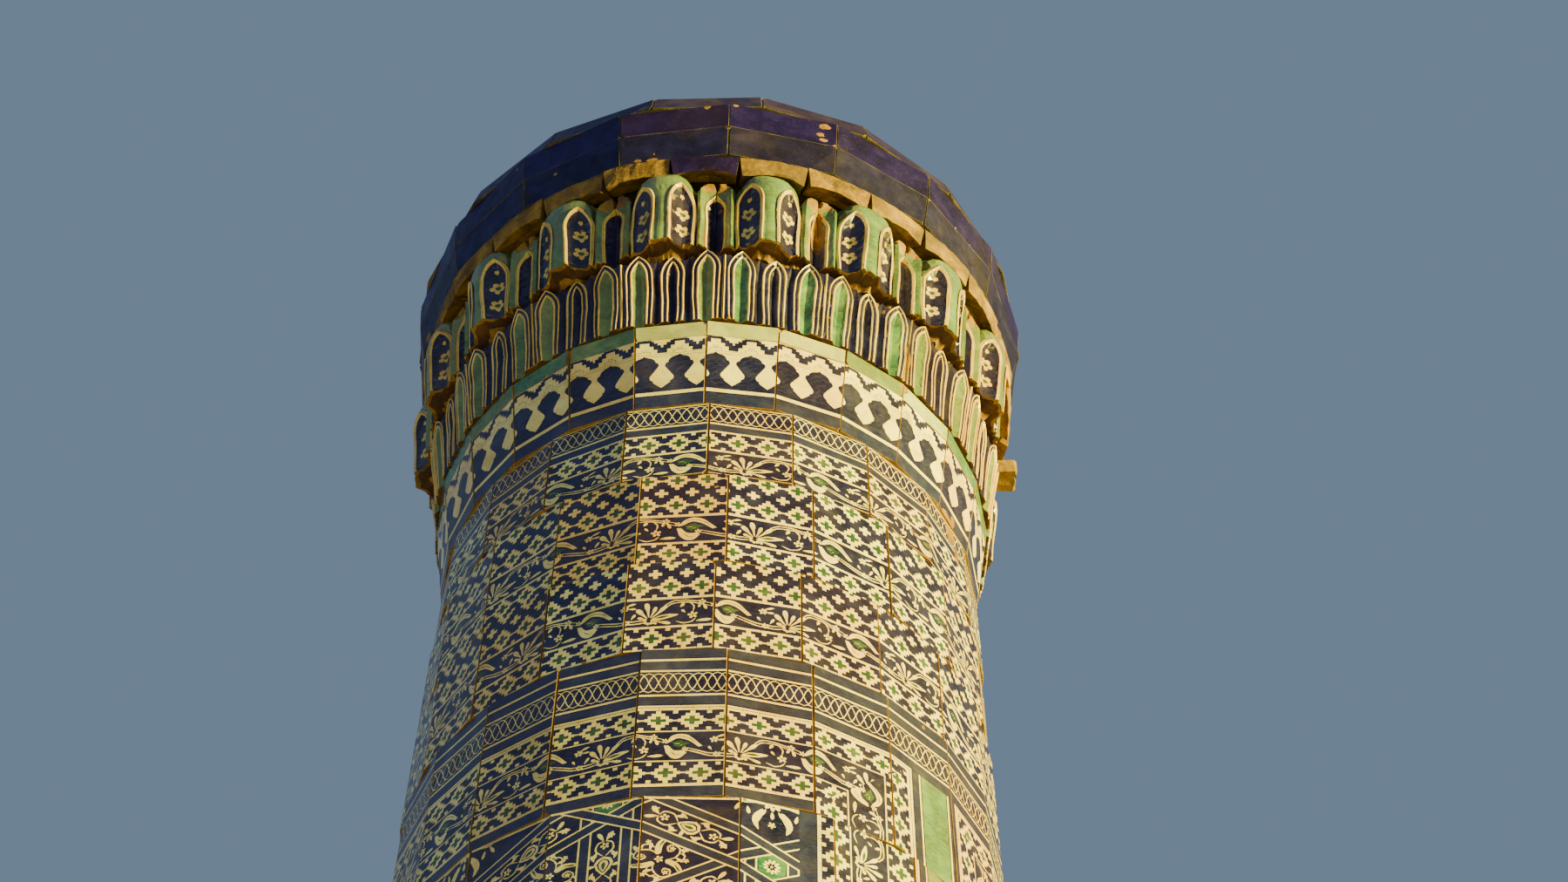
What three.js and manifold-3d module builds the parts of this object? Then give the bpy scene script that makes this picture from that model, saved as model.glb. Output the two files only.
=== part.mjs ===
// A round glazed-tile minaret of fired brick: plinth, tapering shaft, muqarnas cornice and low domed crown.
// Millimetres, +Z up. The origin is the centre of the foot, on the ground.
// Azimuths are in degrees from the front (-Y), growing towards +X.
import * as THREE from 'three';
import { mergeVertices } from 'three/addons/utils/BufferGeometryUtils.js';
import Module from 'manifold-3d';

const wasm = await Module();
wasm.setup();

// Driving dimensions
const BAND_TOP = 8094;           // top of the upper tile band, where the shaft has its nominal radius
const SHAFT_RADIUS = 900;        // radius of the shaft at BAND_TOP
const TAPER = 0.018;             // growth of the radius for each millimetre further down
const JOINT = 0.3;               // open joint between neighbouring solids
const TILE_BAND = 606;           // height of one banded course
const PANEL_HEIGHT = 2400;       // height of the strapwork panel storey
const PLINTH_HEIGHT = 1026;
const PLINTH_RADIUS = 1092;
const PLINTH_CHAMFER = 60;

// Upper shaft: heights of the joints that the courses meet at
const COURSE_1_TOP = 8493;
const COURSE_2_TOP = 8914;
const COURSE_3_TOP = 9275;
const FRIEZE_TOP = 9586;
const FILLET_TOP = 9650;
const FRIEZE_FOOT_RADIUS = 882;
const FRIEZE_TOP_RADIUS = 922;
const FILLET_TOP_RADIUS = 932;

// Muqarnas cornice: two tiers of 18 units, the upper one set half a unit round
const UNITS = 18;
const UNIT_STEP = 360 / UNITS;
const LOWER_TIER_AZIMUTH = 0.4;
const UPPER_TIER_AZIMUTH = -11.6;
const LOWER_TIER_TOP = 9985;
const NOSE_HEIGHT = 10262;         // where the prows stand out furthest
const UPPER_TIER_TOP = 10375;
const CORE_RADIUS = 879;
const TIER_BACK_RADIUS = 880;
const BROKEN_UNIT = 6;           // upper unit that has lost its glazed block

// Crown: hood course, three courses of cobalt tiles, low dome
const HOODS = 28;
const HOOD_AZIMUTH = 2.5;
const CROWN_SIDES = 18;
const CROWN_AZIMUTH = 0.3;
const CROWN_TOP_AZIMUTH = 6.2;
const CROWN_FOOT = 10449;
const CROWN_JOINT_1 = 10587;
const CROWN_JOINT_2 = 10717;
const CROWN_TOP = 10817;
const CROWN_RADII = [1066, 1092, 1103, 1080];
const DOME_RISE = 440;

// Colours
const COLOURS = {
  brick: '#b98a56',
  shaft: '#6f7fa6',
  band: '#3c4a86',
  panel: '#4a5a94',
  frieze: '#c9c6a4',
  turquoise: '#2f8f86',
  flutes: '#2b6f7c',
  prows: '#2f7f83',
  clay: '#a06c34',
  cobalt: '#2a2566',
};

const minaret = new THREE.Group();
const radians = THREE.MathUtils.degToRad;

/** Adds one solid to the minaret as a named mesh. */
function addPiece(name, geometry, colour, roughness = 0.35) {
  const material = new THREE.MeshStandardMaterial({ color: colour, roughness, metalness: 0 });
  const mesh = new THREE.Mesh(geometry, material);
  mesh.name = name;
  minaret.add(mesh);
}

/** A point at an azimuth, radius and height. */
function polar(azimuth, radius, height) {
  const angle = radians(azimuth);
  return [radius * Math.sin(angle), -radius * Math.cos(angle), height];
}

/** Radius of the plain tapering shaft at a height. */
function shaftRadius(height) {
  return SHAFT_RADIUS + TAPER * (BAND_TOP - height);
}

/** A many-sided drum standing upright, with one corner at the given azimuth. */
function drum(sides, azimuth, footRadius, topRadius, foot, top) {
  const height = top - foot;
  const geometry = new THREE.CylinderGeometry(topRadius, footRadius, height, sides, 1, false, radians(azimuth));
  geometry.rotateX(Math.PI / 2);
  geometry.translate(0, 0, foot + height / 2);
  return welded(geometry);
}

/** The same shape with only positions left and shared corners merged. */
function welded(geometry) {
  geometry.deleteAttribute('normal');
  geometry.deleteAttribute('uv');
  return mergeVertices(geometry, 0.001);
}

/** A solid lofted through closed rings of points, listed from the lowest to the highest. */
function loft(rings) {
  const count = rings[0].length;
  const corners = rings.flat(2);
  const triangles = [];
  for (let level = 0; level < rings.length - 1; level += 1) {
    for (let i = 0; i < count; i += 1) {
      const a = level * count + i;
      const b = level * count + ((i + 1) % count);
      triangles.push(a, b, b + count, a, b + count, a + count);
    }
  }
  const outline = (ring) => ring.map(([x, y]) => new THREE.Vector2(x, y));
  const topStart = (rings.length - 1) * count;
  for (const [a, b, c] of THREE.ShapeUtils.triangulateShape(outline(rings[0]), [])) {
    triangles.push(a, c, b);
  }
  for (const [a, b, c] of THREE.ShapeUtils.triangulateShape(outline(rings.at(-1)), [])) {
    triangles.push(topStart + a, topStart + b, topStart + c);
  }
  const geometry = new THREE.BufferGeometry();
  geometry.setAttribute('position', new THREE.Float32BufferAttribute(corners, 3));
  geometry.setIndex(triangles);
  return geometry;
}

/** Turns a closed geometry into a solid that can be joined and cut. */
function solid(geometry) {
  const merged = geometry.index && !geometry.attributes.normal ? geometry : welded(geometry);
  return new wasm.Manifold(new wasm.Mesh({
    numProp: 3,
    vertProperties: new Float32Array(merged.attributes.position.array),
    triVerts: new Uint32Array(merged.index.array),
  }));
}

/** Turns a solid back into a geometry. */
function fromSolid(body) {
  const { vertProperties, triVerts } = body.getMesh();
  const geometry = new THREE.BufferGeometry();
  geometry.setAttribute('position', new THREE.Float32BufferAttribute(vertProperties, 3));
  geometry.setIndex(Array.from(triVerts));
  return geometry;
}

/** One course or storey of the tapering shaft, between two joints. */
function shaftDrum(name, sides, azimuth, foot, top, colour) {
  const geometry = drum(sides, azimuth, shaftRadius(foot), shaftRadius(top), foot, top - JOINT);
  addPiece(name, geometry, colour);
}

/** The plain brick plinth with its chamfered top. */
function addPlinth() {
  const shoulder = PLINTH_HEIGHT - PLINTH_CHAMFER;
  const profile = [
    [0, 0],
    [PLINTH_RADIUS, 0],
    [PLINTH_RADIUS, shoulder],
    [PLINTH_RADIUS - PLINTH_CHAMFER, PLINTH_HEIGHT - JOINT],
    [0, PLINTH_HEIGHT - JOINT],
  ].map(([x, y]) => new THREE.Vector2(x, y));
  const geometry = new THREE.LatheGeometry(profile, 48);
  geometry.rotateX(Math.PI / 2);
  addPiece('brick_plinth', welded(geometry), COLOURS.brick, 0.9);
}

/** The shaft from the plinth to the foot of the cornice. */
function addShaft() {
  const panelTop = BAND_TOP - TILE_BAND;
  const middleBandTop = panelTop - PANEL_HEIGHT;
  const fieldTop = middleBandTop - TILE_BAND;
  const baseBandTop = PLINTH_HEIGHT + TILE_BAND;
  shaftDrum('base_tile_band', 23, 3.6, PLINTH_HEIGHT, baseBandTop, COLOURS.band);
  shaftDrum('lower_tile_field', 23, 11.4, baseBandTop, fieldTop, COLOURS.shaft);
  shaftDrum('middle_tile_band', 23, 3.6, fieldTop, middleBandTop, COLOURS.band);
  shaftDrum('strapwork_panel_storey', 22, 6.4, middleBandTop, panelTop, COLOURS.panel);
  shaftDrum('upper_tile_band', 23, 3.6, panelTop, BAND_TOP, COLOURS.band);
  shaftDrum('diaper_course_1', 22, 0.8, BAND_TOP, COURSE_1_TOP, COLOURS.shaft);
  shaftDrum('diaper_course_2', 21, 2.7, COURSE_1_TOP, COURSE_2_TOP, COLOURS.shaft);
  shaftDrum('diaper_course_3', 21, -1.5, COURSE_2_TOP, COURSE_3_TOP, COLOURS.shaft);
  const frieze = drum(25, -2.6, FRIEZE_FOOT_RADIUS, FRIEZE_TOP_RADIUS, COURSE_3_TOP, FRIEZE_TOP - JOINT);
  addPiece('lobed_frieze', frieze, COLOURS.frieze);
  const fillet = drum(25, -2.6, FRIEZE_TOP_RADIUS, FILLET_TOP_RADIUS, FRIEZE_TOP, FILLET_TOP - JOINT);
  addPiece('turquoise_fillet', fillet, COLOURS.turquoise);
}

/**
 * One ring of a muqarnas segment at a height: the given corners, repeated for each unit from the
 * first azimuth on, and closed by the back of the segment.
 */
function segmentRing(height, corners, firstAzimuth, units) {
  const outer = [];
  const inner = [];
  const slack = 0.01;
  for (let unit = 0; unit < units; unit += 1) {
    const centre = firstAzimuth + unit * UNIT_STEP;
    for (const [offset, radius] of corners) {
      const isSeam = Math.abs(offset) === UNIT_STEP / 2;
      const isEnd = (unit === 0 && offset < 0) || (unit === units - 1 && offset > 0);
      if (isSeam && !isEnd && offset < 0) {
        continue;
      }
      const trimmed = isSeam && isEnd ? offset - Math.sign(offset) * slack : offset;
      outer.push(polar(centre + trimmed, radius, height));
    }
  }
  const start = firstAzimuth - UNIT_STEP / 2 + slack;
  const end = firstAzimuth + (units - 0.5) * UNIT_STEP - slack;
  const steps = 4 * units;
  for (let i = steps; i >= 0; i -= 1) {
    inner.push(polar(start + (end - start) * (i / steps), TIER_BACK_RADIUS, height));
  }
  return [...outer, ...inner];
}

/** Corners of one unit in plan, mirrored about its middle: [azimuth offset, radius]. */
function mirrored(half) {
  const other = half.filter(([offset]) => offset > 0).map(([offset, radius]) => [-offset, radius]);
  return [...other.reverse(), ...half];
}

/** The lower tier: nine blocks of two fluted units, each from arris to arris, flaring outwards. */
function addLowerTier() {
  const foot = mirrored([[0, 938], [4, 945], [10, 954]]);
  const middle = mirrored([[0, 952], [4, 960], [10, 972]]);
  const top = mirrored([[0, 977], [4, 986], [10, 998]]);
  const middleHeight = FILLET_TOP + 0.55 * (LOWER_TIER_TOP - FILLET_TOP);
  for (let block = 0; block < UNITS / 2; block += 1) {
    const azimuth = LOWER_TIER_AZIMUTH + (2 * block + 0.5) * UNIT_STEP;
    const geometry = loft([
      segmentRing(FILLET_TOP, foot, azimuth, 2),
      segmentRing(middleHeight, middle, azimuth, 2),
      segmentRing(LOWER_TIER_TOP - JOINT, top, azimuth, 2),
    ]);
    addPiece(`lower_muqarnas_${String(block + 1).padStart(2, '0')}`, geometry, COLOURS.flutes);
  }
}

/** Rings of one upper unit: a prow with two faces, a rib on each side and a recess between ribs. */
function prowRings(azimuth) {
  const levels = [
    [LOWER_TIER_TOP, [1048, 992, 1000, 972]],
    [NOSE_HEIGHT - 120, [1064, 1005, 1012, 983]],
    [NOSE_HEIGHT, [1074, 1014, 1020, 990]],
    [NOSE_HEIGHT + 62, [1066, 1016, 1022, 993]],
    [UPPER_TIER_TOP - JOINT, [1032, 1006, 1012, 990]],
  ];
  return levels.map(([height, [arris, valley, rib, recess]]) => {
    const corners = mirrored([[0, arris], [6.1, valley], [7.1, rib], [10, recess]]);
    return segmentRing(height, corners, azimuth, 1);
  });
}

/** Rings of the unit that has lost its glaze: only the rough brick behind it, with one brick left out. */
function brokenUnit(azimuth) {
  const rough = mirrored([[0, 968], [5, 962], [10, 950]]);
  const backing = loft([
    segmentRing(LOWER_TIER_TOP, rough, azimuth, 1),
    segmentRing(UPPER_TIER_TOP - JOINT, rough, azimuth, 1),
  ]);
  const brick = new THREE.BoxGeometry(140, 150, 68);
  brick.translate(0, -985, 10075);
  brick.rotateZ(radians(azimuth + 1));
  return fromSolid(solid(backing).add(solid(brick)));
}

/** The upper tier: one block for each prow. */
function addUpperTier() {
  for (let unit = 0; unit < UNITS; unit += 1) {
    const azimuth = UPPER_TIER_AZIMUTH + unit * UNIT_STEP;
    const name = `upper_muqarnas_${String(unit + 1).padStart(2, '0')}`;
    if (unit === BROKEN_UNIT - 1) {
      addPiece(name, brokenUnit(azimuth), COLOURS.clay, 0.9);
    } else {
      addPiece(name, loft(prowRings(azimuth)), COLOURS.prows);
    }
  }
}

/** The round mass of masonry behind both tiers. */
function addCornerCore() {
  const core = drum(72, 0, CORE_RADIUS, CORE_RADIUS, FILLET_TOP, UPPER_TIER_TOP - JOINT);
  addPiece('cornice_core', core, COLOURS.brick, 0.9);
}

/** The course of clay hoods under the crown, each scooped out from below. */
function addHoodCourse() {
  const foot = UPPER_TIER_TOP;
  const top = CROWN_FOOT - JOINT;
  let course = solid(drum(HOODS * 2, HOOD_AZIMUTH, 1050, 1060, foot, top));
  for (let hood = 0; hood < HOODS; hood += 1) {
    const scoop = new THREE.SphereGeometry(1, 10, 8);
    scoop.rotateX(Math.PI / 2);
    scoop.scale(96, 44, 48);
    scoop.translate(0, -990, foot);
    scoop.rotateZ(radians(HOOD_AZIMUTH + (hood + 0.5) * (360 / HOODS)));
    course = course.subtract(solid(scoop));
  }
  addPiece('hood_course', fromSolid(course), COLOURS.clay, 0.85);
}

/** Three courses of cobalt tiles and the low dome they carry. */
function addCrown() {
  const joints = [CROWN_FOOT, CROWN_JOINT_1, CROWN_JOINT_2, CROWN_TOP];
  const azimuths = [CROWN_AZIMUTH, CROWN_AZIMUTH, CROWN_TOP_AZIMUTH];
  const names = ['crown_course_1', 'crown_course_2', 'crown_course_3'];
  names.forEach((name, i) => {
    const [foot, top] = [joints[i], joints[i + 1] - JOINT];
    addPiece(name, drum(CROWN_SIDES, azimuths[i], CROWN_RADII[i], CROWN_RADII[i + 1], foot, top), COLOURS.cobalt, 0.2);
  });
  const span = CROWN_RADII[3] * Math.cos(Math.PI / CROWN_SIDES);
  const sphere = (span * span + DOME_RISE * DOME_RISE) / (2 * DOME_RISE);
  const halfAngle = Math.asin(span / sphere);
  const rings = 8;
  const profile = [new THREE.Vector2(0, CROWN_TOP)];
  for (let i = rings; i > 0; i -= 1) {
    const angle = (halfAngle * i) / rings;
    profile.push(new THREE.Vector2(sphere * Math.sin(angle), CROWN_TOP + DOME_RISE - sphere * (1 - Math.cos(angle))));
  }
  profile.push(new THREE.Vector2(0, CROWN_TOP + DOME_RISE));
  const dome = new THREE.LatheGeometry(profile, 2 * CROWN_SIDES);
  dome.rotateX(Math.PI / 2);
  addPiece('low_dome', welded(dome), COLOURS.cobalt, 0.2);
}

addPlinth();
addShaft();
addCornerCore();
addLowerTier();
addUpperTier();
addHoodCourse();
addCrown();

export default minaret;
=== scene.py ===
"""Looks of a round glazed-tile minaret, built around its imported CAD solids.

Lengths are metres. Azimuths are degrees from the front (-Y), growing towards +X.
On a tile or block, x runs to the right and y upwards as seen from outside.
"""
import math
import random

import bpy
import numpy as np
from mathutils import Matrix, Vector
from mathutils.geometry import delaunay_2d_cdt


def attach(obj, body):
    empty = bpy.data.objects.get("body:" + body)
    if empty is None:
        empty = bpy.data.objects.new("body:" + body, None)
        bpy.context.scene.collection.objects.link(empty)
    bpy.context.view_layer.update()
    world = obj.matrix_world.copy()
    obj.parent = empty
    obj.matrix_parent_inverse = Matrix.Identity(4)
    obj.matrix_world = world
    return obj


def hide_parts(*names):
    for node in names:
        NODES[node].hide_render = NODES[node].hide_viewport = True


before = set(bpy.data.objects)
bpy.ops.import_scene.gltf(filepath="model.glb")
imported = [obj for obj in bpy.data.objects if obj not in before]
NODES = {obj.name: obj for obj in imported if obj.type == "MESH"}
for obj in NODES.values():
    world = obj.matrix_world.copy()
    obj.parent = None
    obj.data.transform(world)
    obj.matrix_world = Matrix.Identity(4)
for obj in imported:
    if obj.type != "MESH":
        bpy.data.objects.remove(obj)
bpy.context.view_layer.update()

# Camera: eye height, distance from the axis, aim and lens
EYE_HEIGHT = 1.6
EYE_DISTANCE = 6.60
AIM_YAW = 2.11
AIM_PITCH = 52.65
AIM_ROLL = 0.46
LENS = 70.0

# Shaft: the same values as the part's source
BAND_TOP = 8.094
SHAFT_RADIUS = 0.9
TAPER = 0.018
TILE_BAND = 0.606
PANEL_HEIGHT = 2.4
PLINTH_HEIGHT = 1.026
PANEL_TOP = BAND_TOP - TILE_BAND
PANEL_FOOT = PANEL_TOP - PANEL_HEIGHT
BAND_SIDES = 23
BAND_AZIMUTH = 3.6

# Tiles: how far they stand out of their mortar bed, their worn edges, joints and pattern repeat
PROUD = 0.005
EMBED = 0.001
BEVEL = 0.0012
JOINT = (0.0012, 0.0036)
PITCH = 0.0925

# Drawing is finer above this height, within these degrees of the side that the camera sees
FINE_ABOVE = 7.4
FINE_AZIMUTH = 8
FINE_SPREAD = 92
FINE_BEND = 0.0008
COARSE_BEND = 0.0024

# Paints, in the order of each painted piece's material slots
CREAM, COBALT, GREEN, TURQUOISE, SLATE, CLAY = range(6)
PAINT_NAMES = ("cream", "cobalt", "green", "turquoise", "slate", "clay")


def polar(azimuth, radius, height=0.0):
    """A point at an azimuth, radius and height."""
    angle = math.radians(azimuth)
    return Vector((radius * math.sin(angle), -radius * math.cos(angle), height))


def shaft_radius(height):
    """Corner radius of the tapering shaft at a height."""
    return SHAFT_RADIUS + TAPER * (BAND_TOP - height)


def add_camera():
    """The photograph's view: close to the foot, looking steeply up."""
    yaw, pitch, roll = (math.radians(a) for a in (AIM_YAW, AIM_PITCH, AIM_ROLL))
    aim = Vector((math.sin(yaw) * math.cos(pitch), math.cos(yaw) * math.cos(pitch), math.sin(pitch)))
    level = aim.cross(Vector((0, 0, 1))).normalized()
    upright = level.cross(aim)
    right = math.cos(roll) * level + math.sin(roll) * upright
    up = math.cos(roll) * upright - math.sin(roll) * level
    data = bpy.data.cameras.new("camera")
    data.lens = LENS
    data.sensor_width = 36.0
    data.clip_end = 200.0
    camera = bpy.data.objects.new("camera", data)
    bpy.context.scene.collection.objects.link(camera)
    turn = Matrix((right, up, -aim)).transposed().to_4x4()
    camera.matrix_world = Matrix.Translation((0, -EYE_DISTANCE, EYE_HEIGHT)) @ turn
    bpy.context.scene.camera = camera


def add_area_light(name, place, target, size, power, colour):
    """A large soft light aimed at a point."""
    data = bpy.data.lights.new(name, "AREA")
    data.shape = "DISK"
    data.size = size
    data.energy = power
    data.color = colour
    light = bpy.data.objects.new(name, data)
    bpy.context.scene.collection.objects.link(light)
    light.location = place
    light.rotation_euler = (Vector(target) - Vector(place)).to_track_quat("-Z", "Y").to_euler()


def add_studio():
    """A pale floor, a warm key light, a cool fill, a light from behind and an even surround."""
    middle = (0, 0, 8.5)
    add_area_light("key", (12.8, -6.6, 10.4), middle, 2.2, 17200, (1.0, 0.82, 0.09))
    add_area_light("fill", (-9, -11, 8), middle, 9.0, 300, (0.34, 0.6, 1.0))
    add_area_light("back", (-4, 13, 12), middle, 8.0, 900, (0.95, 0.96, 1.0))
    world = bpy.data.worlds.new("surround")
    world.use_nodes = True
    backdrop = world.node_tree.nodes["Background"]
    backdrop.inputs["Color"].default_value = (0.2, 0.29, 0.41, 1)
    backdrop.inputs["Strength"].default_value = 0.75
    bpy.context.scene.world = world
    half = 30.0
    mesh = bpy.data.meshes.new("floor")
    corners = [(x * half, y * half, 0) for x, y in ((-1, -1), (1, -1), (1, 1), (-1, 1))]
    mesh.from_pydata(corners, [], [(0, 1, 2, 3)])
    floor = bpy.data.objects.new("floor", mesh)
    bpy.context.scene.collection.objects.link(floor)
    material = bpy.data.materials.new("floor")
    material.use_nodes = True
    shader = material.node_tree.nodes["Principled BSDF"]
    shader.inputs["Base Color"].default_value = (0.62, 0.62, 0.6, 1)
    shader.inputs["Roughness"].default_value = 0.8
    mesh.materials.append(material)


class Shader:
    """A node-based material around one Principled shader."""

    def __init__(self, name):
        self.material = bpy.data.materials.new(name)
        self.material.use_nodes = True
        self.tree = self.material.node_tree
        self.surface = self.tree.nodes["Principled BSDF"]
        self.place = self.node("ShaderNodeTexCoord").outputs["Object"]

    def node(self, kind, settings=None, **values):
        """Adds a node; values are numbers, colours or other nodes' outputs, by input name or index."""
        node = self.tree.nodes.new(kind)
        for key, value in (settings or {}).items():
            setattr(node, key, value)
        for key, value in values.items():
            socket = node.inputs[int(key[1:])] if key[0] == "_" else node.inputs[key.replace("_", " ")]
            self.set(socket, value)
        return node

    def set(self, socket, value):
        """Sets a socket to a value, or links an output to it."""
        if isinstance(value, bpy.types.NodeSocket):
            self.tree.links.new(value, socket)
        else:
            socket.default_value = value

    def noise(self, scale, detail, stretch=None, warp=0.0):
        """Soft noise, 0 to 1, at a number of blobs a metre; stretch scales each axis first."""
        place = self.place
        if stretch:
            place = self.node("ShaderNodeMapping", _0=place, Scale=stretch).outputs[0]
        return self.node("ShaderNodeTexNoise", Vector=place, Scale=scale, Detail=detail, Roughness=0.55,
                         Distortion=warp).outputs["Fac"]

    def ramp(self, fac, *stops):
        """A blend through (position, colour or grey) stops."""
        node = self.node("ShaderNodeValToRGB", Fac=fac)
        elements = node.color_ramp.elements
        while len(elements) < len(stops):
            elements.new(0.5)
        for element, (position, colour) in zip(elements, stops):
            element.position = position
            element.color = (*colour, 1) if isinstance(colour, tuple) else (colour, colour, colour, 1)
        return node.outputs["Color"]

    def mix(self, fac, a, b):
        """Mixes two colours."""
        node = self.node("ShaderNodeMix", {"data_type": "RGBA", "blend_type": "MIX"}, _0=fac)
        for socket, value in ((node.inputs[6], a), (node.inputs[7], b)):
            self.set(socket, value if isinstance(value, bpy.types.NodeSocket) else (*value, 1))
        return node.outputs[2]

    def shaded(self, most):
        """Each tile's own shade, -1 to 1 in its mesh, as 0 to a share."""
        tone = self.node("ShaderNodeAttribute", {"attribute_name": "tone"}).outputs["Fac"]
        return self.node("ShaderNodeMapRange", Value=tone, _1=-1.0, _2=1.0, _3=0.0, _4=most).outputs[0]

    def finish(self, colour, rough, heights, **constants):
        """Connects colour and roughness, and one bump for each (height, strength, distance)."""
        self.set(self.surface.inputs["Base Color"], colour)
        self.set(self.surface.inputs["Roughness"], rough)
        normal = None
        for height, strength, distance in heights:
            bump = self.node("ShaderNodeBump", Height=height, Strength=strength, Distance=distance)
            if normal:
                self.set(bump.inputs["Normal"], normal)
            normal = bump.outputs["Normal"]
        self.set(self.surface.inputs["Normal"], normal)
        for key, value in constants.items():
            self.surface.inputs[key.replace("_", " ")].default_value = value
        return self.material


def glaze(name, pool, body, pale, shade, gloss, streaks, grime, shine=1.42):
    """Hand-painted glaze: pooled and thin places, brush streaks, each tile's own shade, and dust."""
    s = Shader(name)
    cloud = s.noise(11, 5, warp=0.6)
    brush = s.noise(34, 4, stretch=(0.55, 0.55, 1.7), warp=2.2)
    colour = s.ramp(cloud, (0.3, pool), (0.5, body), (0.74, pale))
    colour = s.mix(s.ramp(brush, (0.42, 0.0), (0.75, streaks)), colour, pale)
    colour = s.mix(s.shaded(0.75), colour, s.mix(0.8, colour, shade))
    colour = s.mix(s.ramp(s.noise(150, 2), (0.64, 0.0), (0.72, 0.55)), colour, (0.05, 0.035, 0.03))
    colour = s.mix(s.ramp(s.noise(4.5, 6, warp=0.8), (0.5, 0.0), (0.78, grime)), colour, (0.36, 0.27, 0.17))
    rough = s.ramp(s.noise(26, 5), (0.3, gloss), (0.62, gloss + 0.12), (0.8, gloss + 0.32))
    crackle = s.node("ShaderNodeTexVoronoi", {"feature": "DISTANCE_TO_EDGE"}, Vector=s.place, Scale=95.0)
    fine = s.ramp(crackle.outputs[0], (0.0, 0.0), (0.05, 1.0))
    bumps = [(s.noise(19, 4), 0.35, 0.004), (brush, 0.12, 0.0015), (fine, 0.1, 0.0006)]
    return s.finish(colour, rough, bumps, IOR=shine, Coat_Weight=0.05 * (shine > 1.4), Coat_Roughness=0.12)


def clay(name, dark, body, pale, grain, soot):
    """Bare fired clay: mottled, pitted and sooty."""
    s = Shader(name)
    colour = s.ramp(s.noise(13, 7, warp=0.5), (0.28, dark), (0.5, body), (0.74, pale))
    colour = s.mix(s.shaded(0.6), colour, s.mix(0.5, colour, dark))
    sand = s.noise(grain, 3)
    colour = s.mix(s.ramp(sand, (0.55, 0.0), (0.72, 0.45)), colour, pale)
    stain = s.noise(3.1, 7, stretch=(1, 1, 0.45), warp=0.7)
    colour = s.mix(s.ramp(stain, (0.5, 0.0), (0.76, soot)), colour, (0.035, 0.024, 0.017))
    pits = s.node("ShaderNodeTexVoronoi", Vector=s.place, Scale=grain * 0.6).outputs["Distance"]
    bumps = [(s.noise(34, 6), 0.6, 0.006), (sand, 0.5, 0.0015), (pits, 0.3, 0.001)]
    return s.finish(colour, s.ramp(sand, (0.3, 0.78), (0.7, 0.96)), bumps)


# Glazes by name: pooled, body, thin and aged colour, then gloss, streaks, dust and index of refraction
GLAZES = {
    "cream": ((0.46, 0.37, 0.13), (0.65, 0.56, 0.22), (0.77, 0.7, 0.31), (0.52, 0.2, 0.0), 0.2, 0.3, 0.24),
    # the cornice's cream: the cream made darker and yellower, with the low sun's golden light painted into
    # its colour
    "sunlit_cream": ((0.34, 0.24, 0.05), (0.52, 0.4, 0.1), (0.68, 0.57, 0.17),
                   (0.42, 0.17, 0.0), 0.2, 0.3, 0.24),
    "cobalt": ((0.002, 0.002, 0.014), (0.005, 0.005, 0.046), (0.026, 0.026, 0.105),
               (0.016, 0.006, 0.018), 0.24, 0.6, 0.06),
    "green": ((0.005, 0.022, 0.016), (0.012, 0.048, 0.034), (0.06, 0.11, 0.055),
              (0.03, 0.035, 0.008), 0.2, 0.5, 0.2),
    "turquoise": ((0.003, 0.034, 0.038), (0.008, 0.092, 0.08), (0.12, 0.25, 0.12),
                  (0.2, 0.17, 0.03), 0.1, 0.6, 0.2),
    "slate": ((0.006, 0.007, 0.04), (0.012, 0.015, 0.078), (0.032, 0.038, 0.12),
              (0.03, 0.02, 0.03), 0.22, 0.5, 0.06),
    "faded": ((0.13, 0.19, 0.1), (0.26, 0.32, 0.17), (0.4, 0.44, 0.24), (0.42, 0.36, 0.1), 0.2, 0.4, 0.3),
    "violet": ((0.002, 0.002, 0.026), (0.005, 0.003, 0.075), (0.013, 0.009, 0.13),
               (0.014, 0.004, 0.018), 0.34, 0.2, 0.03, 1.25),
    "navy": ((0.002, 0.002, 0.022), (0.005, 0.005, 0.06), (0.014, 0.013, 0.11),
             (0.012, 0.008, 0.02), 0.36, 0.3, 0.05, 1.25),
    # the crown's top course: violet made greyer, a painted sheen of the sky on its leaning face; rougher and
    # a little dustier too
    "weathered": ((0.005, 0.003, 0.034), (0.01, 0.006, 0.072), (0.026, 0.02, 0.12),
                  (0.02, 0.012, 0.02), 0.38, 0.3, 0.08, 1.25),
}
# Clays by name: dark, body and pale colour, grain and soot
CLAYS = {
    "clay": ((0.07, 0.027, 0.004), (0.2, 0.098, 0.008), (0.34, 0.21, 0.022), 130, 0.6),
    "hood": ((0.028, 0.013, 0.003), (0.15, 0.074, 0.007), (0.38, 0.225, 0.018), 110, 0.9),
    # painted shade: near-black clay for the blocks' undersides and for the cornice core seen between blocks;
    # it also fills the plinth's joints
    "soffit": ((0.014, 0.004, 0.002), (0.038, 0.01, 0.002), (0.11, 0.038, 0.006), 150, 0.6),
    "mortar": ((0.09, 0.045, 0.018), (0.22, 0.11, 0.04), (0.34, 0.2, 0.085), 220, 0.35),
    "old_mortar": ((0.012, 0.01, 0.009), (0.04, 0.03, 0.022), (0.16, 0.12, 0.075), 220, 0.5),
    "brick": ((0.22, 0.11, 0.05), (0.37, 0.21, 0.1), (0.5, 0.34, 0.19), 190, 0.3),
}
MATERIALS = {name: glaze(name.replace("_", " ") + " glaze", *values) for name, values in GLAZES.items()}
MATERIALS.update({name: clay("fired " + name.replace("_", " "), *values) for name, values in CLAYS.items()})


def palette(**changed):
    """The materials of the six paints, some of them changed for others."""
    return [MATERIALS[changed.get(name, name)] for name in PAINT_NAMES]


def dress(names, material):
    """Gives one finish to nodes of the frame that still show."""
    for name in names:
        for slot in NODES[name].material_slots:
            slot.material = MATERIALS[material]


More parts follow.
